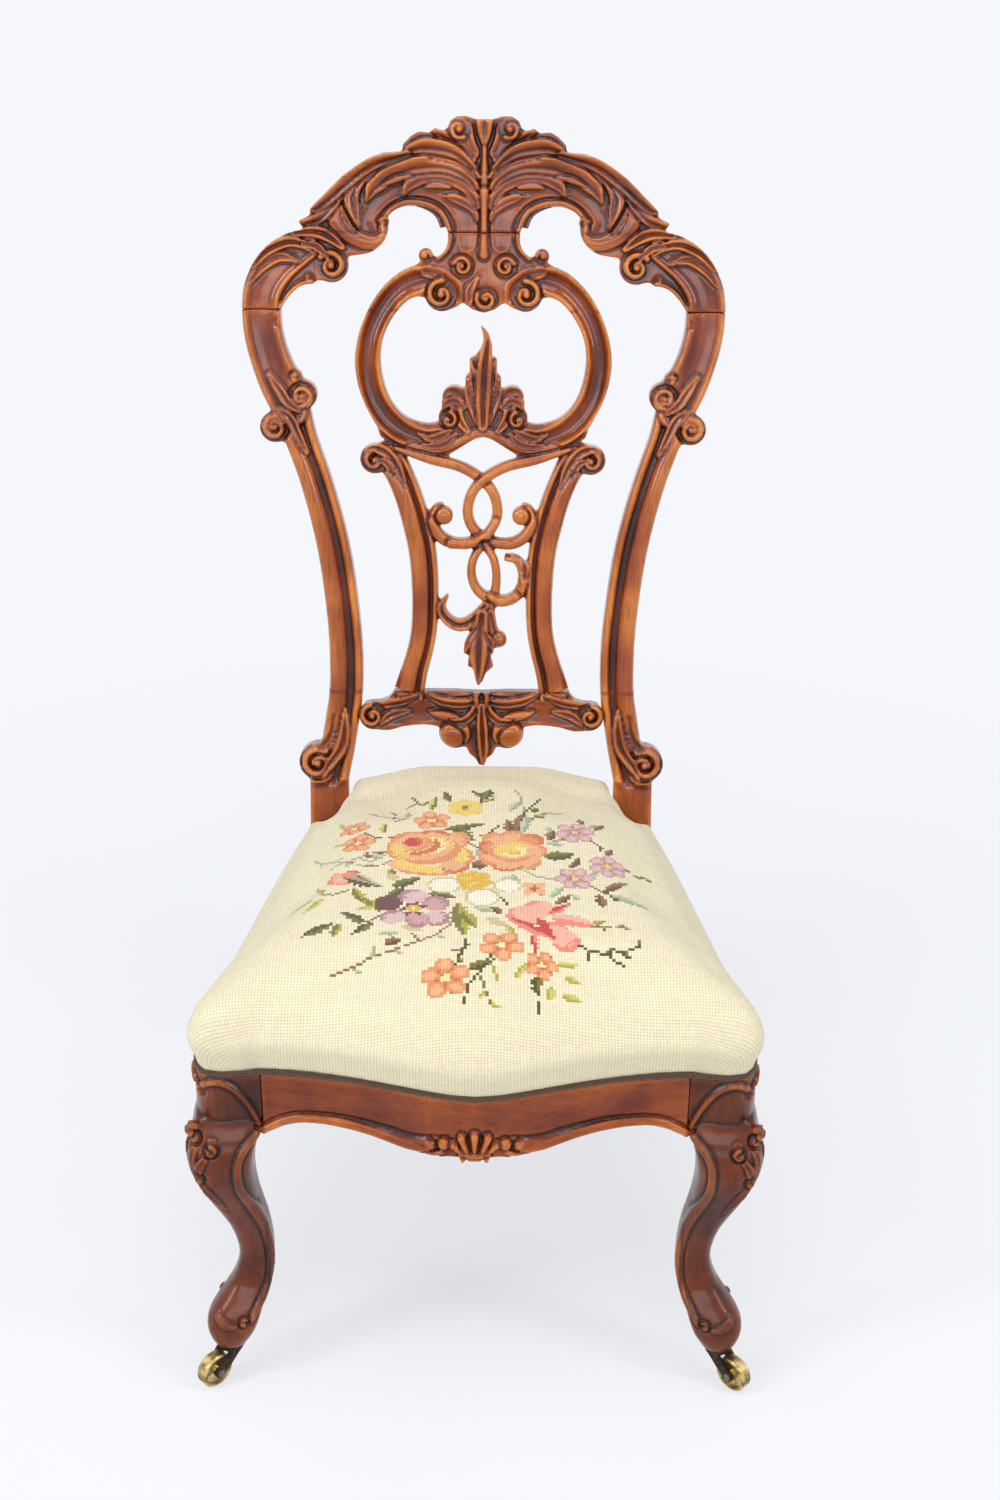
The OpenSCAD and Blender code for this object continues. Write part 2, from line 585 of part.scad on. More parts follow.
module corner_block_screws() color(steel) chair() pair() {
    corner_screws_front(0);
    corner_screws_side(0);
    corner_screws_back(0);
}

// Dowels of each joint, with c the clearance of their holes
module dowel_along_back(u, v, t, c) on_back() translate([u * ku, v * kv - dowel_len / 2 - c, -t / 2])
    rotate([-90, 0, 0]) cylinder(r = back_dowel_r + c, h = dowel_len + 2 * c);
module dowel_x(p, c) translate([p[0] - dowel_len / 2 - c, p[1], p[2]]) rotate([0, 90, 0])
    cylinder(r = rail_dowel_r + c, h = dowel_len + 2 * c);
module dowel_y(p, c) translate([p[0], p[1] - dowel_len / 2 - c, p[2]]) rotate([-90, 0, 0])
    cylinder(r = rail_dowel_r + c, h = dowel_len + 2 * c);
module crest_pegs(c) pair() for (u = [190, 203]) dowel_along_back(u, ear_joint, plank_t, c);
module neck_pegs(c) pair() dowel_along_back(14, neck_joint, splat_t, c);
module lyre_pegs(c) pair() dowel_along_back(67, lyre_joint, splat_t, c);
module cross_pegs(c) pair() on_back()
    translate([111 * ku - 0.4 * dowel_len - c, 107 * kv, -splat_t / 2]) rotate([0, 90, 0])
        cylinder(r = back_dowel_r + c, h = 0.8 * dowel_len + 2 * c);
module front_pegs(c) pair() for (z = [9, 33])
    dowel_x([joint_x, bow + (apron_t + rail_t) / 2, rail_low + z], c);
module side_pegs(c) pair() for (z = [9, 33]) {
    dowel_y([side_x(leg_back) - (apron_t + rail_t) / 2, leg_back, rail_low + z], c);
    dowel_y([side_x(post_y) - 0.4 * rail_t, post_y, rail_low + z], c);
}
module back_pegs(c) pair() for (z = [12, 46])
    dowel_x([post_in, back_rail_y + back_rail_t / 2, rail_low + z], c);

module crest_dowels() color(dowel_wood) chair() crest_pegs(0);
module splat_dowels() color(dowel_wood) chair() {
    neck_pegs(0);
    lyre_pegs(0);
}
module cross_rail_dowels() color(dowel_wood) chair() cross_pegs(0);
module front_rail_dowels() color(dowel_wood) chair() front_pegs(0);
module side_rail_dowels() color(dowel_wood) chair() side_pegs(0);
module back_rail_dowels() color(dowel_wood) chair() back_pegs(0);

// Webbing under the rails, with a spring on each crossing that carries one
strap_x = 68;
strap_y = [130, 210, 290];
spring_spots = [[-strap_x, strap_y[0]], [strap_x, strap_y[0]], [0, strap_y[1]],
    [-strap_x, strap_y[2]], [strap_x, strap_y[2]]];
module webbing_lengthwise() color(jute) chair() for (x = [-strap_x, 0, strap_x]) {
    y0 = bow_y(abs(x) + web_w / 2) + apron_t + 1;
    translate([x - web_w / 2, y0, rail_low - web_t])
        cube([web_w, back_rail_y + back_rail_t - 3 - y0, web_t]);
}
module webbing_crosswise() color(jute) chair() for (y = strap_y) {
    x1 = side_x(y + web_w / 2) - apron_t - 1;
    translate([-x1, y - web_w / 2, side_low - web_t]) cube([2 * x1, web_w, web_t]);
}

// Waisted coil springs, each one unbroken wire
steps = 12;
module seat_springs() color(steel) chair() for (p = spring_spots)
    translate([p[0], p[1], rail_low + gap]) skin(spring_rings);
spring_rings = [for (i = [0:steps * spring_turns]) let (
    t = i / (steps * spring_turns), a = 360 * i / steps,
    r = waist_r + (spring_r - waist_r) * pow(abs(2 * t - 1), 2),
    z = wire_r + (spring_h - 2 * wire_r) * t)
    [for (j = [5:-1:0]) let (b = 60 * j) [
        (r + wire_r * cos(b)) * cos(a), (r + wire_r * cos(b)) * sin(a), z + wire_r * sin(b)]]];

// Plan of the seat at the cover, d inside the faces of the rails: half a ring from
// the middle of the front round the leg and the side to the post and the back rail
corner_steps = 5;
side_steps = 7;
// Length over which the cover's edge rises at each end of the cut round a post
cut_rise = 2;
cover_d = rebate - gap - cover_t;
back_face = back_rail_y + back_rail_t;
function inward(p, i, d) = let (
    t = p[min(i + 1, len(p) - 1)] - p[max(i - 1, 0)], u = t / norm(t)) p[i] + d * [-u[1], u[0]];
function corner_point(k, d) = inward(leg_corner, round(k * (len(leg_corner) - 1) / corner_steps), d);
function front_half_ring(d) = concat(
    [for (i = [0:face_steps]) let (x = joint_x * i / face_steps) [x, bow_y(x) + d]],
    [for (k = [1:corner_steps - 1]) corner_point(k, d)],
    [for (i = [0:side_steps]) let (
        y = min(side_y(i / side_steps), post_y - gap - cut_rise - (d - cover_d)))
        [side_x(y) - d, y]]);
function back_half_ring(d) = let (
    t = d - cover_d, x = post_in - gap - t, front = post_y - gap - t,
    y = back_face + gap - max(t - cover_t, 0), back = back_face + gap + cover_t - t)
    [[side_x(front) - d, front], [x, front], [x, (post_y + back_face) / 2], [x, y],
     [x - cut_rise, back], [0.66 * x, back], [0.33 * x, back], [0, back]];
front_count = len(front_half_ring(0));
function at_post(i) = i >= front_count && i <= front_count + 3;
// Half ring scaled by s about the seat's middle, rounder where s is below turn, and
// kept clear of the posts, which lean in by this much for each millimetre of height
post_lean = 0.12;
mid_seat = 215;
function kept(p, i, s, z, turn) = let (
    v = [p[0], p[1] - mid_seat] * s, m = max(0, turn - s),
    q = v * (1 + m * (s * mid_seat * 0.95 / max(norm(v), 1) - 1)),
    side = post_in - gap - max(0, z - lap_top - 20) * post_lean - (i > front_count + 3 ? cut_rise : 0))
    [i < front_count + 1 ? q[0] : min(q[0], side),
     i <= front_count + 1 ? min(mid_seat + q[1], post_y - gap) : mid_seat + q[1]];
// Ring round the seat, at least as high as lift where the posts stand
function seat_ring(d, s, z, lift = 0, turn = 0.95) = let (
    h = concat(front_half_ring(d), back_half_ring(d)), n = len(h),
    half = [for (i = [0:n - 1]) let (q = kept(h[i], i, s, z, turn))
        [q[0], q[1], at_post(i) ? max(z, lift) : z]])
    concat(half, [for (i = [n - 2:-1:1]) [-half[i][0], half[i][1], half[i][2]]]);

// Pad profile: share of the swell or inset, then the height between lap and crown
pad_profile = [[0.35, 0], [0.8, 0.14], [1, 0.3], [0.8, 0.48]];
pad_top = [[0.985, 0.66], [0.93, 0.79], [0.82, 0.89], [0.6, 0.965], [0.28, 1]];
most = swell / front_half;
// Rings of the pad's surface, sunk by t below the outside of the cover
function pad_rings(t) = let (d = cover_d + t, low = lap_top + gap + 1, rise = crown_z - t - low) concat(
    [for (p = pad_profile) seat_ring(d, 1 + most * p[0], low + t * 0.4 + p[1] * rise)],
    [for (p = pad_top) seat_ring(d, p[0] + most * 0.4, low + p[1] * rise)]);
function back_to_front(r) = [for (i = [len(r) - 1:-1:0]) r[i]];

module seat_cover() color(wool_cream) chair() skin(concat(
    back_to_front(pad_rings(cover_t)),
    [seat_ring(cover_d + cover_t, 1, rail_top + gap, lap_top + gap),
     seat_ring(cover_d, 1, rail_top + gap, lap_top + gap),
     seat_ring(cover_d, 1, rail_top + 2 * gap + gimp_h, lap_top + 2 * gap)],
    pad_rings(0)));

// Hessian: tacked on top of the rails and lifted over the springs
hessian_low = rail_low + gap + spring_h + gap;
hessian_slope = [[0.15, 1], [0.4, 1], [0.62, 1], [0.74, 0.93], [0.88, 0], [0.95, 0]];
function hessian_rings(up) = [for (p = hessian_slope)
    seat_ring(rebate, p[0], lap_top + gap + up + p[1] * (hessian_low - lap_top - gap), 0, 0)];
module spring_hessian() color(jute) chair() skin(concat(
    hessian_rings(0), back_to_front(hessian_rings(hessian_t))));

// Horsehair stuffing between the hessian and the cover
module seat_stuffing() color(horsehair) chair() skin(concat(
    hessian_rings(hessian_t + gap),
    [seat_ring(rebate + 1.5, 1, lap_top + gap)],
    pad_rings(cover_t + gap)));

// Gimp: a narrow braid over the cover's raw edge, from post to post
module gimp_plan(d) polygon([for (q = seat_ring(d, 1, 0)) [q[0], q[1]]]);
module seat_gimp() color(gimp_brown) chair() translate([0, 0, rail_top + gap])
    linear_extrude(gimp_h) difference() {
        gimp_plan(0);
        gimp_plan(cover_d - gap);
        translate([-front_half, post_y - 4]) square([2 * front_half, 100]);
    }

// Castors: place of the swivel and the way that the wheel trails
front_castor = [leg_x + 6, leg_y - 39.5, 45];
rear_castor = [rear_foot_x, post_y + sweep, 150];
module castor_peg(p, c) translate([p[0], p[1], sole_z - 1]) cylinder(r = peg_r + c, h = peg_len + 1 + c);
module castor_screw_set(p, c) for (k = [0:2]) translate([p[0], p[1], plate_low]) rotate(p[2] + 60 + 120 * k)
    translate([0, -0.72 * plate_r, 0]) {
        cylinder(r = 1.3 + c, h = 11 + c);
        cylinder(r = 2.2 + c, h = 0.8 + c);
    }
module castor_screws() color(steel) chair() pair() {
    castor_screw_set(front_castor, 0);
    castor_screw_set(rear_castor, 0);
}
module castor_plate(p) color(bronze) chair() difference() {
    union() {
        translate([p[0], p[1], plate_low]) cylinder(r = plate_r, h = plate_t);
        castor_peg(p, 0);
        translate([p[0], p[1], hub_low - gap - 1.4]) cylinder(r = 1.34 * stub_r, h = 1.4);
        translate([p[0], p[1], hub_low - gap - 1]) cylinder(r = stub_r, h = hub_h + 2 * gap + 2);
    }
    castor_screw_set(p, push);
}
module at_castor(p) translate([p[0], p[1], 0]) rotate(p[2]) children();
arm_in = wheel_w / 2 + 0.6;
arm_out = arm_in + arm_t;
arm_side = concat([[5.5, hub_top], [-5, hub_top]],
    smooth([[-10, hub_low], [-0.8 * trail, wheel_r + 7.6], [-trail - 2.4, wheel_r + 4.2]], 3),
    smooth([[-trail + 3.6, wheel_r - 3.2], [-7, wheel_r + 3], [0, hub_low - 4], [5.5, hub_low]], 3));
module castor_horn(p) color(bronze) chair() at_castor(p) difference() {
    union() {
        translate([0, 0, hub_low]) cylinder(r = arm_out + 0.9, h = hub_h);
        for (x = [-arm_out, arm_in]) translate([x, 0, 0]) rotate([90, 0, 90]) linear_extrude(arm_t)
            union() {
                polygon(arm_side);
                translate([-trail, wheel_r]) circle(r = 4.8);
            }
    }
    translate([0, 0, hub_low - 1]) cylinder(r = stub_r + run, h = hub_h + 2);
    axle_bar(push);
}
module axle_bar(c) translate([-arm_out - c, -trail, wheel_r]) rotate([0, 90, 0])
    cylinder(r = axle_r + c, h = 2 * (arm_out + c));
module castor_axle(p) color(steel) chair() at_castor(p) {
    axle_bar(0);
    for (x = [-arm_out - 1, arm_out]) translate([x, -trail, wheel_r]) rotate([0, 90, 0])
        cylinder(r = 1.6 * axle_r, h = 1);
}
module castor_wheel(p) color(brass) chair() at_castor(p)
    translate([0, -trail, wheel_r]) rotate([0, 90, 0]) rotate_extrude($fn = 96) polygon([
        [axle_r + run, -wheel_w / 2], [4.6, -wheel_w / 2], [4.6, 2 - wheel_w / 2],
        [wheel_r - 3.5, 2 - wheel_w / 2], [wheel_r - 2.5, -wheel_w / 2], [wheel_r - 1, -wheel_w / 2],
        [wheel_r, 1 - wheel_w / 2], [wheel_r, wheel_w / 2 - 1], [wheel_r - 1, wheel_w / 2],
        [wheel_r - 2.5, wheel_w / 2], [wheel_r - 3.5, wheel_w / 2 - 2], [4.6, wheel_w / 2 - 2],
        [4.6, wheel_w / 2], [axle_r + run, wheel_w / 2]]);
module castor_plate_front_right() castor_plate(front_castor);
module castor_horn_front_right() castor_horn(front_castor);
module castor_axle_front_right() castor_axle(front_castor);
module castor_wheel_front_right() castor_wheel(front_castor);
module castor_plate_front_left() mirror([1, 0, 0]) castor_plate(front_castor);
module castor_horn_front_left() mirror([1, 0, 0]) castor_horn(front_castor);
module castor_axle_front_left() mirror([1, 0, 0]) castor_axle(front_castor);
module castor_wheel_front_left() mirror([1, 0, 0]) castor_wheel(front_castor);
module castor_plate_back_right() castor_plate(rear_castor);
module castor_horn_back_right() castor_horn(rear_castor);
module castor_axle_back_right() castor_axle(rear_castor);
module castor_wheel_back_right() castor_wheel(rear_castor);
module castor_plate_back_left() mirror([1, 0, 0]) castor_plate(rear_castor);
module castor_horn_back_left() mirror([1, 0, 0]) castor_horn(rear_castor);
module castor_axle_back_left() mirror([1, 0, 0]) castor_axle(rear_castor);
module castor_wheel_back_left() mirror([1, 0, 0]) castor_wheel(rear_castor);

crest_rail();
back_splat();
lower_back_rail();
back_post_left();
back_post_right();
front_seat_rail();
seat_rail_left();
seat_rail_right();
back_seat_rail();
front_leg_left();
front_leg_right();
corner_block_front_left();
corner_block_front_right();
corner_block_back_left();
corner_block_back_right();
corner_block_screws();
crest_dowels();
splat_dowels();
cross_rail_dowels();
front_rail_dowels();
side_rail_dowels();
back_rail_dowels();
webbing_lengthwise();
webbing_crosswise();
seat_springs();
spring_hessian();
seat_stuffing();
seat_cover();
seat_gimp();
castor_screws();
castor_plate_front_left();
castor_horn_front_left();
castor_axle_front_left();
castor_wheel_front_left();
castor_plate_front_right();
castor_horn_front_right();
castor_axle_front_right();
castor_wheel_front_right();
castor_plate_back_left();
castor_horn_back_left();
castor_axle_back_left();
castor_wheel_back_left();
castor_plate_back_right();
castor_horn_back_right();
castor_axle_back_right();
castor_wheel_back_right();
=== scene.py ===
# %% [markdown]
# # A carved walnut bedroom chair
# This lesson dresses the working model of a low bedroom chair of about 1860 to 1880. The
# frame comes packed, with every timber, spring, screw and castor at its real size, and it
# stays as it is. Blender adds what a carver, a polisher and an upholsterer would: moulded
# and leafed carving, French polish, a stuffed seat and its needlepoint cover. Everything
# is in metres, and the chair faces -Y.

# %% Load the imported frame
import math

import bmesh
import bpy
import numpy as np
from mathutils import Matrix, Vector
from mathutils.bvhtree import BVHTree
from mathutils.kdtree import KDTree


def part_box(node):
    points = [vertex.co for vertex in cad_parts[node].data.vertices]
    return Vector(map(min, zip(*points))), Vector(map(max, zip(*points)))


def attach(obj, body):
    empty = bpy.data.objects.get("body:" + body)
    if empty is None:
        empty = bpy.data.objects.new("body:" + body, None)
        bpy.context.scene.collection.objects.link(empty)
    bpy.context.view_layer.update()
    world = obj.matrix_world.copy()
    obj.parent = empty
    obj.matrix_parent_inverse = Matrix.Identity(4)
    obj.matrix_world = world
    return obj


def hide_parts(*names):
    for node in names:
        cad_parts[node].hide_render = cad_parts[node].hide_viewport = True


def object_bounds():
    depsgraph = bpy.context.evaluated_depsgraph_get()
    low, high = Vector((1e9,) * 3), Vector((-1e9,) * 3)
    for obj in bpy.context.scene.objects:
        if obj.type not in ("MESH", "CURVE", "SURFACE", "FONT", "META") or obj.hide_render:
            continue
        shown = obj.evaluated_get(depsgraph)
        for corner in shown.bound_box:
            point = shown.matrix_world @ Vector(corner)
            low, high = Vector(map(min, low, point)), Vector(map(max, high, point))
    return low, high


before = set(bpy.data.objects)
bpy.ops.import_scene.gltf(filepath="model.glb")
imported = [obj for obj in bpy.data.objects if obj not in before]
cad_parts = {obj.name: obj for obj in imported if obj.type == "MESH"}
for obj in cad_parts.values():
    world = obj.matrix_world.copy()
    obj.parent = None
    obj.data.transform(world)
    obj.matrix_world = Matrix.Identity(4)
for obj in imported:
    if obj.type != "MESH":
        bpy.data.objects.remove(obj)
cad_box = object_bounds()
mm = 0.001

# %% [markdown]
# ## Camera
# The picture was taken from standing height with the camera tilted down, so the seat
# shows its top and the legs taper away. A camera is fully set by where it stands, how far
# it tilts and rolls, and its focal length, so those are written as values.

# %% Set the camera
photo_height = 1500
focal_pixels = 2200
camera_place = Vector((0.0175, -1.65915, 1.330))
camera_tilt = math.radians(27.8)
camera_roll = math.radians(0.45)

camera_data = bpy.data.cameras.new("camera")
camera_data.sensor_fit = "VERTICAL"
camera_data.sensor_height = 36
camera_data.lens = focal_pixels / photo_height * camera_data.sensor_height
camera = bpy.data.objects.new("camera", camera_data)
camera.matrix_world = (Matrix.Translation(camera_place)
                       @ Matrix.Rotation(math.pi / 2 - camera_tilt, 4, "X")
                       @ Matrix.Rotation(camera_roll, 4, "Z"))
bpy.context.scene.collection.objects.link(camera)
bpy.context.scene.camera = camera
print("lens", round(camera_data.lens, 1), "mm")

# %% [markdown]
# ## Nodes and colours
# Materials here are procedural: they are worked out from the surface, with no pictures.
# One small function adds a node, sets it and links it, and one turns the hex colours that
# a designer writes into the linear numbers that a renderer needs.

# %% Helpers for materials
def linear(code):
    """sRGB hex colour as linear red, green, blue and alpha."""
    parts = [int(code[i:i + 2], 16) / 255 for i in (1, 3, 5)]
    return [p / 12.92 if p <= 0.04045 else ((p + 0.055) / 1.055) ** 2.4 for p in parts] + [1.0]


def add(tree, kind, *values, out=0, stops=(), **given):
    """Add a node and return one of its outputs. values fill its inputs in order, and a
    named value goes to the input or the property of that name."""
    made = tree.nodes.new("ShaderNode" + kind)
    named = {s.name.lower().replace(" ", "_"): s for s in reversed(made.inputs)}
    pairs = list(zip(made.inputs, values))
    for key, value in given.items():
        if key in named:
            pairs.append((named[key], value))
        else:
            setattr(made, key, value)
    for socket, value in pairs:
        if isinstance(value, bpy.types.NodeSocket):
            tree.links.new(value, socket)
        else:
            socket.default_value = value
    for k, (place, colour) in enumerate(stops):
        stop = made.color_ramp.elements[k] if k < 2 else made.color_ramp.elements.new(place)
        stop.position = place
        stop.color = linear(colour)
    return made.outputs[out]


def new_material(name, **settings):
    """A material, its tree and its Principled shader, whose plain sockets are set by name."""
    made = bpy.data.materials.new(name)
    made.use_nodes = True
    shader = made.node_tree.nodes["Principled BSDF"]
    for key, value in settings.items():
        shader.inputs[key.replace("_", " ")].default_value = value
    return made, made.node_tree, shader


def surface(tree, shader, colour, height, depth, strength, rough=None):
    """Link a pattern into a shader: its colour, its height as bumps of a depth in mm, its roughness."""
    tree.links.new(colour, shader.inputs["Base Color"])
    bump = add(tree, "Bump", height=height, distance=depth * mm, strength=strength)
    tree.links.new(bump, shader.inputs["Normal"])
    if rough is not None:
        tree.links.new(rough, shader.inputs["Roughness"])


def mesh_object(name, bm):
    mesh = bpy.data.meshes.new(name)
    bm.to_mesh(mesh)
    bm.free()
    made = bpy.data.objects.new(name, mesh)
    bpy.context.scene.collection.objects.link(made)
    return made


print("helpers ready: mid grey, #808080, is", round(linear("#808080")[0], 3), "in linear light")

# %% [markdown]
# ## Floor and light
# A photographer's white sweep gives no edge between floor and wall. The floor is a wide
# pale plane that keeps the chair's soft shadow near its feet and turns to plain white
# farther out. A tall soft box on each side, one overhead and a wide one in front light
# the chair softly, and draw the long highlights down polished mouldings. A ray that the
# camera, a gloss or a glass sends out meets the plain white of the backdrop.

# %% Build the floor, the surround and the lamps
backdrop_white = "#f5f7fb"
shadow_reach, white_reach = 0.45, 1.2


def seen_or_mirrored(tree):
    """1 for a ray that the camera, a gloss or a glass sends out, and 0 for one that carries soft light."""
    kinds = add(tree, "LightPath").node.outputs
    seen = add(tree, "Math", kinds["Is Camera Ray"], kinds["Is Glossy Ray"], operation="MAXIMUM")
    return add(tree, "Math", seen, kinds["Is Transmission Ray"], operation="MAXIMUM")


def build_floor():
    bm = bmesh.new()
    bmesh.ops.create_grid(bm, x_segments=8, y_segments=8, size=14)
    floor = mesh_object("floor", bm)
    made, tree, shader = new_material("matt_white_paper", Roughness=0.9)
    place = add(tree, "TexCoord", out="Object")
    reach = add(tree, "VectorMath", place, operation="LENGTH", out="Value")
    far = add(tree, "MapRange", reach, from_min=shadow_reach, from_max=white_reach, to_min=0.65, to_max=1)
    mottle = add(tree, "TexNoise", place, scale=3.0, detail=2.0)
    shade = add(tree, "ValToRGB", mottle, stops=[(0.3, "#eceef2"), (0.7, "#f1f2f5")])
    tree.links.new(shade, shader.inputs["Base Color"])
    glow = add(tree, "Math", seen_or_mirrored(tree), far, operation="MULTIPLY")
    white = add(tree, "Emission", linear(backdrop_white), 1.0)
    mix = add(tree, "MixShader", glow, shader.outputs[0], white)
    tree.links.new(mix, tree.nodes["Material Output"].inputs["Surface"])
    floor.data.materials.append(made)


def build_world():
    world = bpy.data.worlds.new("white_studio")
    bpy.context.scene.world = world
    world.use_nodes = True
    tree = world.node_tree
    room = tree.nodes["Background"]
    room.inputs["Color"].default_value = linear("#eef2f8")
    room.inputs["Strength"].default_value = 0.55
    backdrop = add(tree, "Background", linear(backdrop_white), 1.0)
    mix = add(tree, "MixShader", seen_or_mirrored(tree), room.outputs[0], backdrop)
    tree.links.new(mix, tree.nodes["World Output"].inputs["Surface"])


def soft_box(name, place, aim, width, height, power):
    data = bpy.data.lights.new(name, "AREA")
    data.shape = "RECTANGLE"
    data.size = width
    data.size_y = height
    data.energy = power
    box = bpy.data.objects.new(name, data)
    box.location = place
    box.rotation_euler = (Vector(aim) - Vector(place)).to_track_quat("-Z", "Y").to_euler()
    bpy.context.scene.collection.objects.link(box)


build_floor()
build_world()
soft_box("left_box", (-1.9, -1.0, 2.0), (0, 0, 0.5), 0.5, 1.8, 26)
soft_box("right_box", (1.9, -0.9, 1.9), (0, 0, 0.5), 0.4, 1.8, 18)
soft_box("top_box", (0, -0.4, 2.9), (0, 0, 0.4), 1.8, 1.4, 22)
soft_box("front_wall", (-0.3, -3.4, 1.8), (0, 0, 0.7), 3.4, 1.0, 30)
bpy.context.scene.view_settings.view_transform = "Standard"
print("studio ready")

# %% [markdown]
# ## French-polished walnut
# The chair is walnut, stained a warm red-brown and French polished: thin coats of shellac
# rubbed on by hand. A century and a half of dusting has worn the ridges to gold, while
# wax and dust have gone dark in every hollow. So each carved piece carries a number at
# every point, from -1 in a hollow to 1 on a ridge, and the material turns that into
# colour: dark wax and dust with painted shade in the hollows, rubbed wear with a painted
# highlight on the ridges. Over it lie clouds of patina about 55 mm across, the figure of
# the timber, some 12 mm wide and much longer along the grain, and its pores, which are
# 0.3 mm wide in life and drawn at 0.9 mm to show.

# %% Walnut, beech and the other woods
bands_long, pores_long = 0.09, 0.06
patina_patch = 55
patina_gain, patina_shift, figure_gain = 1.4, -0.93, 0.55
pore_dark = 0.72


def wood(name, along, colours, figure=12, pores=0.9, rough=0.24, coat=0.8, depth=0.05, sheen=0.1):
    """Timber whose grain runs along a direction. colours are for hollow, body, face and ridge, the hollow
    one also painted shade and the ridge one also a painted highlight. figure, pores and depth are in
    millimetres."""
    made, tree, shader = new_material(name, IOR=1.5, Specular_IOR_Level=0.2, Coat_Weight=coat,
                                      Coat_Roughness=sheen)
    place = add(tree, "TexCoord", out="Object")
    turn = Vector(along).to_track_quat("Z", "Y").inverted().to_euler()
    grain = add(tree, "Mapping", place, rotation=turn)
    bands = add(tree, "Mapping", grain, scale=(1, 1, bands_long))
    streak = add(tree, "Mapping", grain, scale=(1, 1, pores_long))
    rings = add(tree, "TexNoise", bands, scale=1 / (figure * mm), detail=4.0, roughness=0.6, distortion=0.6)
    fine = add(tree, "TexNoise", streak, scale=1 / (pores * 2 * mm), detail=2.0, roughness=0.5)
    patina = add(tree, "TexNoise", place, scale=1 / (patina_patch * mm), detail=2.0)
    # The stored number darkens hollows with dirt and painted shade, and lightens ridges with wear and a
    # painted highlight.
    wear_and_shading = add(tree, "Attribute", attribute_name="wear_and_shading", out="Fac")
    clouds = add(tree, "Math", patina, patina_gain, patina_shift, operation="MULTIPLY_ADD")
    shift = add(tree, "Math", rings, figure_gain, clouds, operation="MULTIPLY_ADD")
    tone = add(tree, "Math", wear_and_shading, shift, operation="ADD")
    level = add(tree, "MapRange", tone, from_min=-1.0, from_max=1.0)
    colour = add(tree, "ValToRGB", level, stops=[(0.1, colours[0]), (0.98, colours[3]), (0.4, colours[1]),
                                                 (0.66, colours[2])])
    pore = add(tree, "MapRange", fine, from_min=0.36, from_max=0.5, to_min=pore_dark, to_max=1.0)
    dark = add(tree, "VectorMath", colour, operation="SCALE", scale=pore)
    dull = add(tree, "MapRange", level, from_min=0.0, from_max=0.6, to_min=rough + 0.25, to_max=rough)
    surface(tree, shader, dark, fine, depth, 0.6, dull)
    return made


rake = math.radians(12)
up_the_back = (0, math.sin(rake), math.cos(rake))
# The hollow end of each palette is dirt and painted shade, and the ridge end is wear and a painted
# highlight.
polish = ("#1c0501", "#6a2204", "#9c470a", "#ce7c2e")
# A darker walnut polish for the side rails and the legs, made darker still as painted shade for where they
# stand under the seat.
deep_polish_and_shade = ("#140201", "#401000", "#6e2c04", "#ac6226")
bare_beech = ("#8a6236", "#b98a52", "#c99c64", "#d8b280")
bare_dowel = ("#a98352", "#cfa873", "#dab884", "#e6caa0")
walnut_across = wood("french_polished_walnut_across", (1, 0, 0), polish)
walnut_up = wood("french_polished_walnut_up", up_the_back, polish)
walnut_rail = wood("french_polished_walnut_rail", (1, 0, 0), polish, coat=0.4)
walnut_side = wood("french_polished_walnut_side", (0, 1, 0), deep_polish_and_shade)
walnut_leg = wood("french_polished_walnut_leg", (0, 0, 1), deep_polish_and_shade, coat=0.35, sheen=0.24)
beech_across = wood("sawn_beech_across", (1, 0, 0), bare_beech, figure=7, rough=0.6, coat=0, depth=0.15)
beech_block = wood("sawn_beech_block", (0, 0, 1), bare_beech, figure=7, rough=0.6, coat=0, depth=0.15)
turned_dowel = wood("turned_birch_dowel", (0, 0, 1), bare_dowel, figure=5, rough=0.55, coat=0, depth=0.1)
print("woods ready")

# %% [markdown]
# ## Metals
# The castor wheels are solid brass, turned on a lathe and rubbed by floors, so they are
# yellow and fairly smooth on the tread with brown in the dished sides. The horns and
# plates are cast iron with a dark bronzed lacquer. Springs are coppered steel wire.

# %% Brass, bronzed iron and steel
grit_size = 1.5


def metal(name, base, tarnish, rough, spots=9.0, metallic=1.0, dimple=0.02):
    """Metal with patches of tarnish about as many millimetres across as spots."""
    made, tree, shader = new_material(name, Metallic=metallic)
    place = add(tree, "TexCoord", out="Object")
    cloud = add(tree, "TexNoise", place, scale=1 / (spots * mm), detail=5.0, roughness=0.65)
    colour = add(tree, "ValToRGB", cloud, stops=[(0.38, tarnish), (0.6, base)])
    dull = add(tree, "MapRange", cloud, from_min=0.35, from_max=0.65, to_min=rough + 0.2, to_max=rough)
    grit = add(tree, "TexNoise", place, scale=1 / (grit_size * mm), detail=3.0)
    surface(tree, shader, colour, grit, dimple, 0.5, dull)
    return made


turned_brass = metal("turned_brass", "#dcc48a", "#7d6433", 0.3)
bronzed_iron = metal("bronzed_cast_iron", "#4b3d30", "#241b15", 0.42, metallic=0.85, dimple=0.08)
coppered_wire = metal("coppered_steel_wire", "#8f7a68", "#5a4638", 0.35, spots=20)
blued_steel = metal("steel_screw", "#8c8d90", "#5a5652", 0.35, spots=6)
print("metals ready")

# %% [markdown]
# ## Pieces that need no carving
# The beech rail, the corner blocks, dowels, screws, springs and castors have their real
# shape in the frame already. They could be modelled again, but a turned or a cast piece
# would gain nothing, so they keep their meshes and only take a finish, by name.

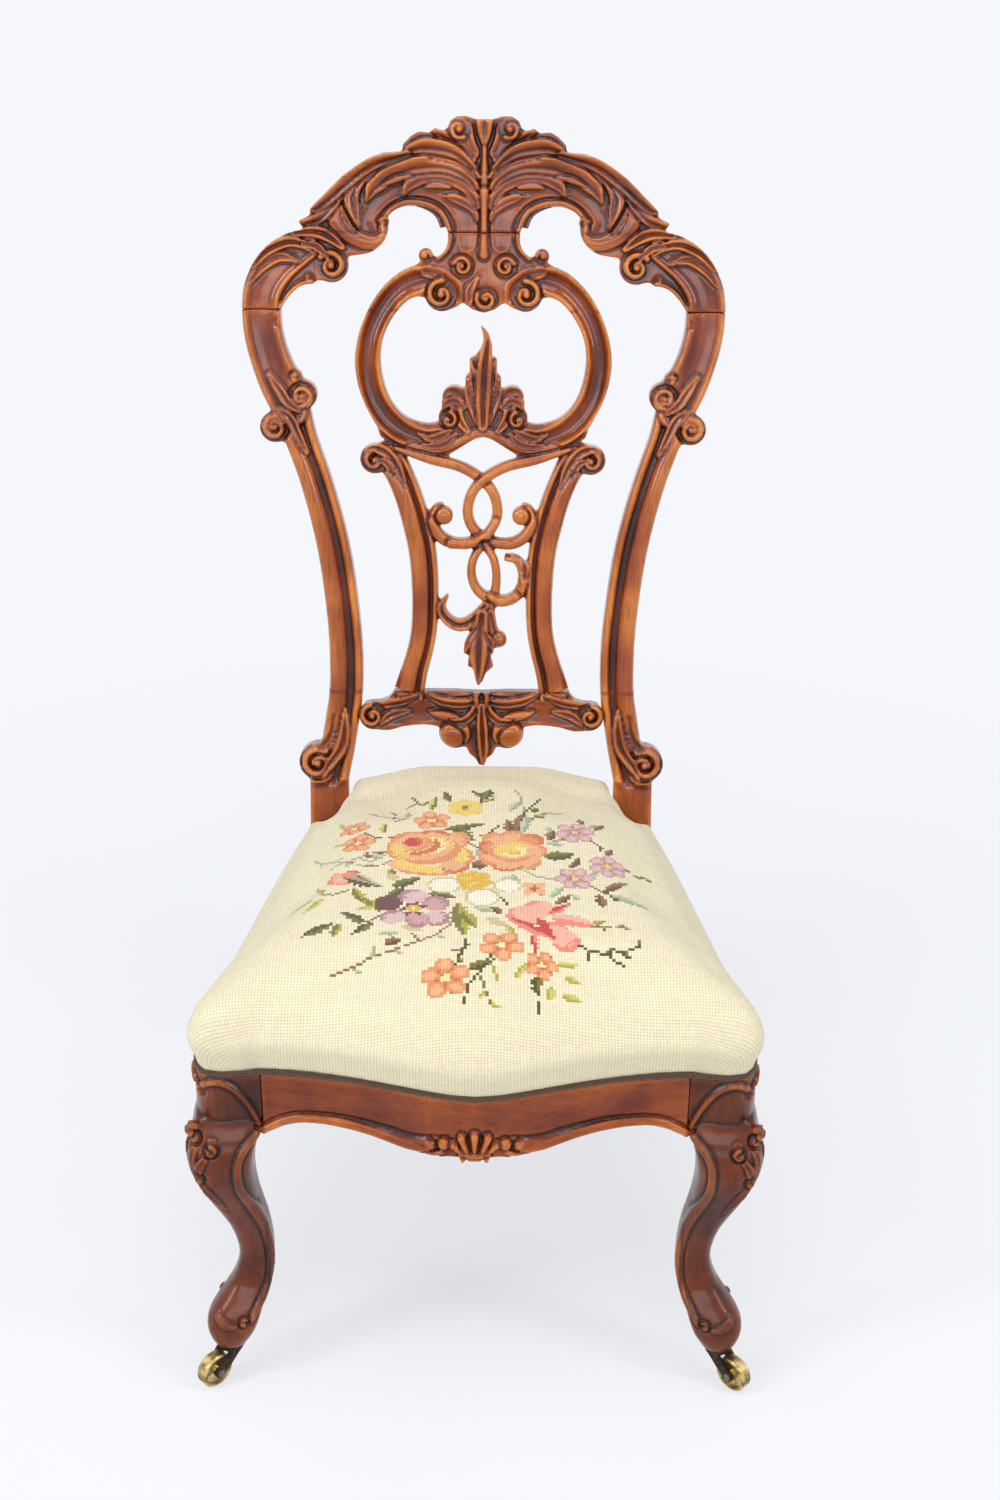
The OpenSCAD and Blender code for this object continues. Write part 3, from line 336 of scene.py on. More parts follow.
# %% Give every frame piece its finish
finishes = {
    "back_seat_rail": beech_across, "corner_block": beech_block, "dowels": turned_dowel,
    "screws": blued_steel, "seat_springs": coppered_wire, "castor_plate": bronzed_iron,
    "castor_horn": bronzed_iron, "castor_axle": blued_steel, "castor_wheel": turned_brass,
}
for name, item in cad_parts.items():
    for part_name, finish in finishes.items():
        if part_name in name and not (part_name == "corner_block" and "screws" in name):
            item.data.materials.clear()
            item.data.materials.append(finish)
print("finished", len(finishes), "kinds of frame piece")

# %% [markdown]
# ## The plane of the back
# The crest, the splat, the lower rail and the posts are flat boards that lean back by 12
# degrees, carved on the face. Work is easier on a bench than on a leaning board, so each
# board is turned to lie on the bench: u runs across, v up the board, and w towards the
# carver, in millimetres. It is carved there and turned back.

# %% Lay a board on the bench
back_foot = Vector((0, 138.853, 300)) * mm
bench = Matrix((
    (1, 0, 0, 0),
    (0, math.sin(rake), -math.cos(rake), back_foot.y),
    (0, math.cos(rake), math.sin(rake), back_foot.z),
    (0, 0, 0, 1)))
scale_to_mm = Matrix.Scale(1 / mm, 4)
to_bench = scale_to_mm @ bench.inverted()
from_bench = bench @ Matrix.Scale(mm, 4)


def board(name, turn=to_bench):
    """Copy of a frame piece, its loose triangles merged, moved by turn and in millimetres."""
    bm = bmesh.new()
    bm.from_mesh(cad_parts[name].data)
    bmesh.ops.remove_doubles(bm, verts=bm.verts, dist=0.01 * mm)
    bmesh.ops.transform(bm, matrix=turn, verts=bm.verts)
    return bm


def settled(item, kind, **settings):
    """Run one modifier on an object and keep its result as the mesh."""
    step = item.modifiers.new("step", kind)
    for key, value in settings.items():
        setattr(step, key, value)
    seen = item.evaluated_get(bpy.context.evaluated_depsgraph_get())
    mesh = bpy.data.meshes.new_from_object(seen)
    item.modifiers.clear()
    old = item.data
    item.data = mesh
    bpy.data.meshes.remove(old)
    return item


def read(rows, key, width, kind=float):
    """One property of all the points, edges or faces of a mesh, as rows of width numbers."""
    flat = np.empty(len(rows) * width, dtype=kind)
    rows.foreach_get(key, flat)
    return flat.reshape(-1, width)


def places(mesh):
    return read(mesh.vertices, "co", 3)


def edge_ends(mesh):
    return read(mesh.edges, "vertices", 2, np.int64)


def put(mesh, points):
    mesh.vertices.foreach_set("co", np.ascontiguousarray(points, dtype=np.float32).ravel())
    mesh.update()


def relaxed(points, ends, times, share=0.5, free=None):
    """Points drawn towards the middle of their neighbours, as sanding does."""
    count = np.bincount(ends.ravel(), minlength=len(points)).reshape(-1, 1)
    for _ in range(times):
        near = np.empty_like(points)
        for axis in range(points.shape[1]):
            near[:, axis] = (np.bincount(ends[:, 0], points[ends[:, 1], axis], len(points))
                             + np.bincount(ends[:, 1], points[ends[:, 0], axis], len(points)))
        step = share * (near / np.maximum(count, 1) - points)
        points = points + (step if free is None else step * free[:, None])
    return points


def dress(item, node, finish, turn=Matrix.Identity(4), smooth=True):
    """Put a worked piece back in its place with its finish, to stand for a piece of the frame."""
    item.data.transform(turn)
    item.data.materials.clear()
    item.data.materials.append(finish)
    if smooth:
        item.data.polygons.foreach_set("use_smooth", [True] * len(item.data.polygons))
    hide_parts(node)
    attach(item, "root")
    print(item.name, len(item.data.polygons), "faces")


print("bench ready")

# %% [markdown]
# ## Carving as strokes
# A carver draws leaves, rolls and beads on the face, and cuts each with a few long
# strokes. Here a stroke is a path of points (u, v, half width, level) with a moulding
# across it, and each later stroke lies over the earlier ones, with a fine dark line cut
# round its edge. Every point of the board's face is then lifted or sunk to the height
# that the strokes give there. A moulding is a few (share, height) pairs, where the share
# runs from -1 on the right of the path to 1 on its left.

# %% Mouldings and strokes
round_roll = [(-1, -0.6), (-0.92, 0.25), (-0.75, 0.62), (-0.4, 0.92), (0, 1), (0.4, 0.92),
              (0.75, 0.62), (0.92, 0.25), (1, -0.6)]
flat_bead = [(-1, -0.3), (-0.8, 0.7), (0, 1), (0.8, 0.7), (1, -0.3)]
cove = [(-1, 0.6), (-0.85, 1), (-0.5, -0.2), (0, -0.7), (0.5, -0.2), (0.85, 1), (1, 0.6)]
leaf = [(-1, -0.4), (-0.9, 0.55), (-0.68, 0.95), (-0.4, 0.72), (-0.14, 0.3), (0, 0.05), (0.14, 0.3),
        (0.4, 0.75), (0.7, 1.05), (0.9, 0.6), (1, -0.4)]
blade = [(-1, -0.7), (-0.92, 0), (-0.7, 0.35), (-0.48, 0.22), (-0.3, -0.1), (-0.1, 0.25), (0.25, 0.7),
         (0.6, 1), (0.82, 1.1), (0.94, 0.7), (1, -0.6)]
hollow = [(-1, 0), (-0.7, -0.5), (0, -1), (0.7, -0.5), (1, 0)]
finger = [(-1, -0.4), (-0.8, 0.85), (-0.35, 0.3), (0, 0.15), (0.4, 0.6), (0.82, 1.1), (1, -0.4)]


def smooth_line(points, steps=5):
    """Catmull-Rom curve through rows of numbers."""
    p = np.array([tuple(q) + (0,) * (4 - len(q)) for q in points], float)
    p = np.vstack([2 * p[0] - p[1], p, 2 * p[-1] - p[-2]])
    t = np.linspace(0, 1, steps, endpoint=False)[:, None]
    rows = []
    for a, b, c, d in zip(p[:-3], p[1:-2], p[2:-1], p[3:]):
        rows.append(0.5 * (2 * b + (c - a) * t + (2 * a - 5 * b + 4 * c - d) * t ** 2
                           + (3 * b - a - 3 * c + d) * t ** 3))
    return np.vstack(rows + [p[-2:-1]])


def stroke(points, moulding=round_roll, height=3.0, edge=1.0, tip=0.0, lone=False):
    """A path and its moulding. It is cut on both halves of the work, or once where it is lone."""
    return {"line": smooth_line(points), "moulding": np.array(moulding, float), "height": height,
            "edge": edge, "tip": tip, "lone": lone}


def knob(u, v, r, height, level=0.0, edge=1.0, lone=False):
    """A round button or boss."""
    return stroke([(u, v - 0.05, r, level), (u, v + 0.05, r, level)], round_roll, height, edge, 0, lone)


roll_share, roll_end, eye_share = 0.74, 0.26, 0.72
disc_sunk, eye_rise = 2.4, 1.6


def curl(u, v, r, start, turn, width=0.32, height=3.5, level=0.0, ball=0.34, lone=False, sweep=1.6):
    """A scroll's end: a sunk disc, a roll that winds in from angle start, and a ball in its eye.
    turn is 1 for winding to the left and -1 for winding to the right."""
    wide = r * width * roll_share
    ring = []
    for share in np.linspace(0, 1, 13):
        angle = math.radians(start + turn * 360 * sweep * share)
        reach = (r - wide) * (1 - (1 - roll_end) * share)
        ring.append((u + reach * math.cos(angle), v + reach * math.sin(angle),
                     wide * (1 - 0.4 * share), level + eye_rise * share))
    disc = [(u, v - 0.05, r * 0.96, level - disc_sunk), (u, v + 0.05, r * 0.96, level - disc_sunk)]
    return [stroke(disc, [(-1, 0), (1, 0)], 1, 0.6, 0, lone),
            stroke(ring, round_roll, height, 0.9, 0, lone),
            knob(u, v, r * ball * eye_share, height + eye_rise, level, 0.3, lone)]


print("mouldings ready, and a curl is", len(curl(0, 0, 10, 0, 1)), "strokes")

# %% [markdown]
# ## From strokes to heights
# Every point of a face looks for the nearest place on each stroke. Inside the stroke its
# moulding gives the height, at its edge a fine line is cut, and outside nothing changes.
# A displacement picture could do the same, but it would have to be painted first, and
# this works straight from the strokes.

# %% Find the height of the carving
full_width, least_width, least_share = 2.2, 0.3, 0.3
soft_edge, tip_start = 0.35, 0.6
cut_place, cut_width = 0.3, 0.8


def nearest(line, uv):
    """For each point its distance from a line, and the signed distance, width, level and run there."""
    far = np.full(len(uv), 1e9)
    out = np.zeros((len(uv), 4))
    steps = np.hypot(*(line[1:, :2] - line[:-1, :2]).T)
    run = np.concatenate([[0], np.cumsum(steps)]) / max(steps.sum(), 1e-9)
    for a, b, ra, rb in zip(line[:-1], line[1:], run[:-1], run[1:]):
        d = b[:2] - a[:2]
        t = np.clip((uv - a[:2]) @ d / max(d @ d, 1e-9), 0, 1)
        off = uv - a[:2] - t[:, None] * d
        dist = np.hypot(off[:, 0], off[:, 1])
        mine = dist < far
        far[mine] = dist[mine]
        side = np.sign(d[0] * off[:, 1] - d[1] * off[:, 0])
        rows = np.stack([side * dist, a[2] + (b[2] - a[2]) * t, a[3] + (b[3] - a[3]) * t,
                         ra + (rb - ra) * t], 1)
        out[mine] = rows[mine]
    return far, out


def carved_height(uv, strokes, ground):
    """Height of the carving over the face at each (u, v), in millimetres."""
    field = ground.copy()
    mirrored = np.stack([np.abs(uv[:, 0]), uv[:, 1]], 1)
    for s in strokes:
        q = uv if s["lone"] else mirrored
        line = s["line"]
        reach = line[:, 2].max() + 3
        low, high = line[:, :2].min(0) - reach, line[:, :2].max(0) + reach
        pick = np.flatnonzero(((q > low) & (q < high)).all(1))
        if not len(pick):
            continue
        far, rows = nearest(line, q[pick])
        across, width, level, run = rows.T
        width = np.maximum(width, least_width)
        inside = np.clip((width + soft_edge - far) / (2 * soft_edge), 0, 1)
        moulded = s["height"] * np.interp(across / width, *s["moulding"].T)
        top = level + moulded * np.clip(width / full_width, least_share, 1)
        top = top + s["tip"] * np.clip((run - tip_start) / (1 - tip_start), 0, 1) ** 2
        line_cut = s["edge"] * np.exp(-((far - width - cut_place) / cut_width) ** 2) * (1 - inside)
        field[pick] = field[pick] * (1 - inside) + top * inside - line_cut
    return field


print("a line is cut", cut_width, "mm wide beside each stroke")

# %% [markdown]
# ## The crest
# The top board carries a spray of acanthus leaves that springs from a straight rod at the
# middle, parts to both sides, and ends over a smooth band. Two curls crown it, and each
# ear turns down in a deep scroll. Both halves are alike, so one stroke cuts both.

# %% Strokes of the crest
crest_strokes = [
    stroke([(66, 611, 4), (90, 603, 7), (114, 589, 8), (136, 569, 7), (152, 556, 5)], round_roll, 3.4),
    stroke([(40, 524, 3.2), (32, 532, 3.2), (30, 545, 3), (37, 561.5, 3), (50, 569, 3), (67, 570.5, 3),
            (80, 565, 3), (87, 557, 3)], round_roll, 3.6, 1.6),
    *curl(88, 553.5, 5.5, 130, -1, 0.4, 3, 0.5, 0.42, sweep=0.8),
    stroke([(15, 536, 8), (15, 552, 9), (20, 566, 10), (36, 582, 11), (58, 587, 11), (80, 582, 10),
            (96, 570, 9), (104, 556, 8), (100, 545, 7)], hollow, 1.6, 0),
    stroke([(124, 588, 3), (131, 568, 6.4), (128.5, 553, 7.8), (116, 541.5, 7.6), (100, 536, 6.4),
            (89, 541, 4.4), (89, 550, 2.6)], round_roll, 3.6, 1.2),
    stroke([(124, 566, 1.6), (119.5, 553, 3.2), (111, 543, 1)], finger, 4.6, 1.2, 0.6),
    stroke([(6, 556, 2), (9.5, 564.5, 4), (17, 570.5, 4.8), (27, 574, 4), (35, 575.5, 1)], blade, 3, 1.4),
    stroke([(6, 566, 2.4), (9, 575, 5), (18, 586, 7), (35, 592, 7.4), (53, 591.5, 7), (65, 585, 5.6),
            (69.5, 577, 2)], blade, 3.6, 1.8, 1.4),
    stroke([(30, 583, 1.6), (42, 584.5, 3.2), (52, 583, 1)], round_roll, 2.2, 1.4),
    stroke([(7, 583, 3), (16, 594, 6.4), (35, 602, 8), (60, 601, 8.6), (82, 593, 8.6), (96, 583, 7.4),
            (102, 571.5, 2)], blade, 4.6, 2, 1.4),
    stroke([(64, 592, 1.6), (77, 589.5, 3.6), (88.5, 584.5, 1)], round_roll, 2.8, 1.4),
    stroke([(6, 592, 2.6), (16, 604, 5.4), (31, 609.5, 5.6), (40, 609.8, 4.4), (46.5, 608, 1.4)], blade, 4.8,
           1.8, 0.6),
    stroke([(10, 606, 3), (22, 619, 5), (36, 627, 4.4), (46, 630.5, 1)], blade, 5.2, 1.6, 0.8),
    stroke([(9, 600, 2.8), (27, 613.5, 6.4), (49, 617.5, 7.4), (62, 615.5, 5.4), (70, 611.5, 1.4)], blade, 5,
           1.8, 0.8),
    stroke([(84, 607, 3), (98, 600, 7), (110, 590, 8.4), (115.5, 577, 8), (113.5, 563, 5.6),
            (109, 549, 1.2)], blade, 4.6, 2, 0.8),
    stroke([(120, 587, 2.6), (131, 570.5, 6.2), (142, 558, 6), (151, 553.5, 4.4), (162, 552.5, 1)], blade,
           4.6, 1.8, 0.8),
    stroke([(66, 611, 3), (97, 602.5, 6.6), (116, 590.5, 7.4), (132.5, 576, 6.6), (146, 565.5, 5),
            (157, 563, 1.2)], blade, 5.2, 2, 1),
    stroke([(9, 612, 5, 2), (14, 622, 6, 3), (17, 632, 7, 3)], [(-1, 0), (0, -0.4), (1, 0)], 3, 0.8),
    *curl(22, 632, 10.5, -120, 1, 0.36, 4.2, 3.2, 0.5, sweep=0.9),
    stroke([(0, 638, 8, 4), (0, 628, 6, 3.4), (0, 617, 1.2, 2.6)], leaf, 3, 1.2, lone=True),
    stroke([(0, 617, 2, 1.6), (0, 600, 3, 1), (0, 585, 3.4, 0.6)], flat_bead, 2.4, 0.8, lone=True),
    stroke([(0, 526, 4.6, 0.6), (0, 540, 3.6, 0.6), (0, 552, 3.2, 0.6), (0, 566, 3.6, 0.6),
            (0, 580, 4.8, 0.6)], round_roll, 4.6, 1.8, lone=True),
]
print("crest strokes:", len(crest_strokes))

# %% [markdown]
# ## Ears and posts
# One moulding runs up each post and round the ear: a fat outer roll, a hollow, and a
# thin inner roll. At mid height it breaks into a pair of scrolls, one facing out and one
# facing in, and at the foot it ends in a larger scroll wrapped in a leaf.

# %% Strokes of the posts and ears
post_moulding = [(-1, -0.8), (-0.94, 0.2), (-0.8, 0.75), (-0.55, 1), (-0.25, 0.72), (-0.02, 0.1),
                 (0.15, -0.5), (0.36, -0.72), (0.47, -0.3), (0.56, 0.35), (0.74, 0.7), (0.9, 0.4),
                 (1, -0.5)]
post_line = [(142, 46, 18), (138, 60, 17), (133.5, 78, 16), (129, 105, 15.8), (125.5, 130, 15.6),
             (125, 165, 15.6), (127, 200, 15.2), (133, 250, 15), (141, 290, 14.6), (152, 330, 14.2),
             (163, 362, 14.5), (172, 390, 17)]
ear_moulding = [(-1, -0.8), (-0.93, 0.2), (-0.84, 0.8), (-0.72, 0.6), (-0.5, 0.15), (-0.1, -0.05), (0.3, 0),
                (0.52, 0.2), (0.66, 0.5), (0.8, 0.95), (0.92, 0.5), (1, -0.5)]
ear_line = [(172, 390, 17), (181, 412, 18.5), (190, 435, 17.5), (195.5, 458, 17.3),
            (196.5, 478, 17.5), (195, 492, 17), (189, 505, 17), (179, 516, 16), (166, 524, 13),
            (153, 531, 10)]
post_strokes = [
    stroke(post_line, post_moulding, 4.4, 0.6),
    stroke(ear_line, ear_moulding, 4.6, 0.6),
    stroke([(206, 500, 2), (196, 513, 4.6), (180, 523, 5), (161, 519, 1)], finger, 5, 1.2, 1),
    stroke([(203, 514, 2), (190, 528, 5), (172, 536, 5.4), (156, 533, 4), (145, 524, 1)], leaf, 5, 1.3, 1),
    *curl(134, 516, 15, 40, 1, 0.3, 4.4, 0.6, 0.36, sweep=1.25),
    stroke([(166, 543, 2.6), (150, 545, 5.4), (136, 541, 5.6), (124, 532, 3)], leaf, 4.8, 1.2, 1),
    stroke([(158, 534, 2), (146, 532, 4), (137, 523, 2)], finger, 5, 1),
    *curl(152.5, 503.5, 5, 60, -1, 0.42, 3.2, 0.4, 0.4, sweep=0.7),
    stroke([(152, 502, 3), (161, 499, 3), (169, 493, 3), (175, 485, 3), (179, 477, 3.2), (181, 466, 3.2)],
           round_roll, 3.2, 1),
    *curl(186, 374, 14, 150, -1, 0.31, 4.4, 0.6, 0.34),
    *curl(162, 402, 13, -30, -1, 0.31, 4.4, 0.6, 0.34),
    stroke([(158, 352, 2.5), (166, 368, 5), (174, 384, 5), (186, 391, 1.6)], leaf, 4.6, 1.2, 1),
    stroke([(190, 420, 2.5), (182, 408, 5), (174, 396, 5), (163, 388, 2)], leaf, 4.6, 1.2, 1),
    *curl(167, 419.5, 6, -90, 1, 0.42, 3, 0.6, 0.4, sweep=0.7),
    *curl(152, 62, 18, 120, -1, 0.29, 5, 1, 0.34, sweep=1.4),
    stroke([(126, 112, 2), (127, 92, 5.5), (131, 76, 6.5), (143, 58, 5), (148, 48, 1.5)], leaf, 4.4, 1.2,
           0.6),
    stroke([(137, 108, 1.6), (140, 92, 4.6), (147, 80, 4.6), (156, 79, 1)], finger, 4.6, 1.2, 1),
]
print("post strokes:", len(post_strokes))

# %% [markdown]
# ## The splat
# Below the crest hangs an oval ring with a flame leaf standing in it. Under that, two
# arms curve like a lyre, and between them two strands cross, pass through a loop and end
# in a hanging leaf. The knot isn't the same on both sides, so its strokes are cut singly.
# Where a strand dips under another, its level falls, and the one above is cut last.

# %% Strokes of the splat
ring_moulding = [(-1, -0.6), (-0.93, 0.3), (-0.8, 0.8), (-0.66, 0.62), (-0.5, 0.05), (-0.25, -0.42),
                 (0.05, -0.6), (0.35, -0.45), (0.55, 0.1), (0.7, 0.75), (0.83, 1), (0.94, 0.6), (1, -0.3)]
arm_moulding = [(-1, -0.9), (-0.9, 0.1), (-0.65, 0.75), (-0.25, 1), (0.1, 0.72), (0.34, -0.05),
                (0.46, -0.5), (0.54, -0.1), (0.64, 0.4), (0.78, 0.62), (0.92, 0.3), (1, -0.5)]
ring_line = [(50, 505, 12), (60, 503, 13.6), (71, 498, 12.8), (82.5, 487.5, 12.5), (92.5, 472.5, 12.3),
             (99.3, 455.5, 12), (102.4, 437, 12), (102, 424, 12), (98, 405, 12), (90, 389, 12.4),
             (78, 376, 12.4), (64, 368, 11.5), (50, 364, 11), (38, 366, 10)]
lyre_line = [(67, 124, 14), (62, 150, 12.5), (56.5, 170, 12), (53, 190, 12), (52, 215, 12.2),
             (52.5, 240, 12.5), (55, 265, 12.7), (60.5, 290, 12.8), (67, 312, 12.5), (75, 332, 12.5),
             (84, 348, 12)]
right_strand = [(78, 356, 3, -2), (66, 352, 4, -1.4), (46, 346, 5.2, -1), (23, 340.5, 5.4, -1),
                (6, 332, 5.4, 0), (-7, 320, 5.2, -0.8), (-13, 305, 5, -1.4), (-12, 290, 5, -2.4),
                (-3, 277, 5, -4), (12, 270, 5.2, -3.6), (28, 270, 5.8, -1.4), (40, 278, 5.8, -0.8),
                (45, 290, 5.4, -0.6), (41, 300, 4, -0.4)]
left_over = [(12, 290, 5, -1), (3, 277, 5.2, 0.6), (-12, 270, 5.4, 0.6), (-28, 270, 5.8, -0.4)]
splat_strokes = [
    stroke(ring_line, ring_moulding, 4.4, 0.5),
    stroke([(66, 357, 4, -1), (44, 355, 4, -0.6), (28, 359, 4), (12, 368, 4), (0, 371, 4)], round_roll, 2.6,
           0.8),
    stroke([(14, 372, 3), (22, 384, 5.5), (24, 396, 6.5), (21, 405, 5)], leaf, 4.4, 1.2),
    stroke([(14, 396, 4), (21, 406, 6, 1), (31, 408, 5.6, 2), (37, 400, 3, 1)], finger, 4.4, 1.4, 1.4),
    stroke([(17, 392, 2), (25, 399, 4, 1), (33, 396, 3.6, 1.4), (36, 390, 1)], finger, 3.4, 1),
    *curl(31, 382, 9.5, 100, 1, 0.33, 3.8, 0.4, 0.36, sweep=1.0),
    stroke([(29, 372, 2.4), (38, 367, 4.4), (48, 365, 3.6), (58, 369, 1)], finger, 4, 1.1, 0.8),
    stroke([(24, 369, 2), (34, 360, 4), (46, 358, 3), (54, 360, 1)], finger, 3.2, 1),
    stroke([(4, 378, 3), (10, 396, 5), (14, 411, 4), (15.5, 422, 1)], finger, 3.6, 1.2, 1),
    stroke([(3, 392, 3), (7, 412, 4.5), (11, 427, 3.5), (13, 438, 1)], finger, 4.2, 1.2, 1),
    stroke([(0, 376, 5), (0, 400, 7.5), (1, 424, 8), (3, 443, 6), (4, 456, 3), (-2, 465, 1)], leaf, 4.4,
           1.4, 0.8, lone=True),
    stroke([(50, 511, 5), (38, 508, 6), (26, 500, 6), (22, 487, 4)], cove, 1.4, 0.4),
    *curl(37.5, 492, 15, 95, -1, 0.27, 4.4, 0.2, 0.38, sweep=1.15),
    *curl(19, 516, 10.6, 20, 1, 0.33, 3.8, 0.6, 0.3, sweep=1.3),
    *curl(51, 525, 6.6, 180, -1, 0.4, 3, 0.6, 0.42, sweep=0.8),
    stroke([(-6, 506, 2), (-12, 496, 4.6), (-13, 486, 4), (-16, 477, 1)], leaf, 3.4, 1.2, lone=True),
    *curl(2, 488, 11.4, 150, 1, 0.32, 4, 0.4, 0.34, lone=True, sweep=1.2),
    stroke(lyre_line, arm_moulding, 4.6, 0.7),
    *curl(97, 345.5, 14, 200, -1, 0.3, 4.4, 0.8, 0.36, sweep=1.25),
    stroke([(70, 322, 2), (76, 337, 5.4), (85, 351, 6, 1), (98, 357, 4.6, 2), (106, 352, 1, 1)], leaf, 4,
           1.2, 1),
    stroke([(80, 332, 1.4), (86, 342, 4, 1), (93, 346, 2, 1)], finger, 3.4, 1, 0.6),
    stroke([(-p[0], *p[1:]) for p in right_strand], round_roll, 5, 1.2, lone=True),
    stroke(right_strand, round_roll, 5, 1.2, lone=True),
    stroke([(-p[0], p[1], p[2], p[3] + 0.1) for p in right_strand if p[1] < 300 and p[0] > 10],
           round_roll, 5, 0.6, lone=True),
    stroke(left_over, round_roll, 5, 1.4, lone=True),
    knob(35, 295, 8.6, 5.4, -1, 1.4),
    stroke([(20, 256, 2.4, -1), (31, 255, 4.4, -1), (37, 246, 5, -1), (37, 232, 5.2, -1),
            (30, 221, 5.4, -0.6), (18, 216.5, 5.4, 0.4), (5, 219.5, 5.2, 0), (-6, 229, 4.8, -1),
            (-10, 244, 4.6, -1.4), (-7, 258, 4.4, -2), (2, 270, 4, -4)], round_roll, 4.8, 1.2, lone=True),
    stroke([(2, 270, 3.6, -3.4), (10, 257, 4.2, -1.4), (13, 241, 4.4, -1.2), (12, 227, 4.6, -2.4),
            (8, 212, 5, -2.6), (4, 197, 6, -1.6)], round_roll, 4.2, 1, lone=True),
    stroke([(8, 221, 4, 0.2), (18, 216.5, 5.6, 0.6), (30, 221, 5.6, -0.4)], round_roll, 4.8, 1.4, lone=True),
    stroke([(24, 262, 2, -1), (33, 259, 4, 0), (39, 248, 4, 0), (39, 238, 1, -1)], finger, 4.4, 1,
           lone=True),
    stroke([(20, 249, 2, -1), (26, 241, 3.6, -0.6), (31, 233, 3.2, -0.8), (32, 226, 1, -1)], finger, 4, 1,
           lone=True),
    stroke([(3, 213, 4, -2), (-7, 200, 6.4, -1.4), (-20, 194, 6.4, -1), (-32, 200, 5.6, -0.8),
            (-37, 211, 4, -0.6), (-31, 223, 1.2, 0)], leaf, 4.4, 1.2, 1, lone=True),
    stroke([(8, 205, 4, -1.6), (11, 192, 5, -1), (15, 182, 6, -1)], leaf, 3.6, 1, lone=True),
    knob(16, 180, 7.6, 4.4, -1.4, lone=True),
    stroke([(0, 204, 6, -1.6), (-2, 186, 9, -1.4), (-3, 166, 9, -1), (-3, 150, 5, -0.8), (-3, 136, 1, 0)],
           leaf, 4.4, 1.2, 0.6, lone=True),
    stroke([(-5, 190, 2, -1.4), (-11, 182, 4, -1), (-14, 174, 3, -0.6), (-16, 167, 0.8)], finger, 3.6, 1,
           lone=True),
    stroke([(3, 186, 2, -1.4), (8, 178, 3.6, -1), (9, 170, 1, -0.6)], finger, 3.6, 1, lone=True),
]
print("splat strokes:", len(splat_strokes))

# %% [markdown]
# ## The lower rail
# The rail at the foot of the splat ends in double scrolls, and two fat balls curl in
# towards a pendant leaf at its middle.

# %% Strokes of the lower rail
cross_strokes = [
    stroke([(0, 118, 12), (24, 116, 12), (48, 112, 12), (72, 108, 11), (90, 104, 8)], hollow, 1.4, 0),
    stroke([(60, 127, 2.4), (74, 121, 5), (88, 119, 5.6), (100, 118, 4.4), (110, 112, 2)], blade, 4.2, 1.4,
           0.6),
    *curl(101, 108, 13.6, 80, -1, 0.3, 4.2, 0.6, 0.34, sweep=1.2),
    stroke([(66, 112, 1.6), (76, 111, 4), (86, 107, 4.6), (93, 100, 2)], finger, 4, 1.4, 0.6),
    knob(26, 90.5, 12.8, 6.4, 0, 1.8),
    stroke([(48, 112, 1.6), (40, 110, 4.4), (28, 107, 5.6), (17, 100, 5), (12.5, 90, 3), (15, 82, 1)],
           round_roll, 5.6, 1.8),
    stroke([(3, 128, 2), (10, 121, 4.4), (22, 119.5, 5.2), (38, 122, 5), (50, 128, 3), (56, 131, 1)], blade,
           4.6, 1.6, 0.8),
    stroke([(3, 124, 2), (7, 112, 4.6), (15, 104, 5), (24, 103, 3.4), (30, 105, 1)], blade, 5, 1.6, 0.8),
    stroke([(4.6, 131, 3.4), (5, 124, 3), (3, 112, 1)], round_roll, 5, 1.4),
    stroke([(0, 118, 3), (0.5, 100, 5.6), (1.5, 84, 5.6), (2, 70, 4), (2, 60, 1.4)], leaf, 5.2, 1.6, 0.8,
           lone=True),
]
back_strokes = crest_strokes + post_strokes + splat_strokes + cross_strokes
print("strokes:", len(back_strokes))

# %% [markdown]
# ## From strokes to boards
# A board starts as the frame's own piece, pressed flat on its face. It is remeshed into
# small even squares, because carving needs points everywhere, then lifted and sunk by
# the strokes and sanded. Depth below the face fades the carving out, so the back stays
# flat and sawn. Last it learns how worn and how shaded it is: a point that stands proud
# of the sanded shape is a ridge, rubbed light and given a painted highlight, and one that
# lies below it is a hollow, dark with wax and dust and with painted shade.

# %% Carve a board
joint_reach, joint_dirt = 2.4, 0.2
joint_still, joint_fade = 1.5, 3
fine_rounds, broad_rounds = 3, 16
ridge_share = 0.7
face_depth = 10.0
board_joints = (478, 545, 131)
carving_foot, carving_start = 40, 46
bead_sunk, lip = 0.5, 5
box_half = cad_box[1][0] / mm


def remeshed(item, size):
    return settled(item, "REMESH", mode="VOXEL", voxel_size=size, adaptivity=0)


def mark_wear_and_shading(item, joint_gap, gain_fine=1.3, gain_broad=0.8):
    """Store one number for wear, dirt, painted shade and painted highlight on a mesh in millimetres.
    joint_gap gives each point's distance from a joint.
    """
    points = places(item.data)
    ends = edge_ends(item.data)
    normals = read(item.data.vertices, "normal", 3)
    fine = relaxed(points, ends, fine_rounds)
    broad = relaxed(fine, ends, broad_rounds)
    proud = gain_fine * ((points - fine) * normals).sum(1) + gain_broad * ((fine - broad) * normals).sum(1)
    proud = relaxed(proud[:, None], ends, 2)[:, 0]
    plain = np.clip(joint_gap(points) / joint_reach, 0, 1)
    # Below 0 in hollows: dark wax and dust, and painted shade. Above 0 on ridges: rubbed wear, and a painted
    # highlight. Near a joint it is dark.
    tone = np.tanh(proud) * plain - joint_dirt * (1 - plain)
    tone = np.where(tone > 0, tone * ridge_share, tone)
    stored = item.data.attributes.new("wear_and_shading", "FLOAT", "POINT")
    stored.data.foreach_set("value", tone.astype(np.float32))


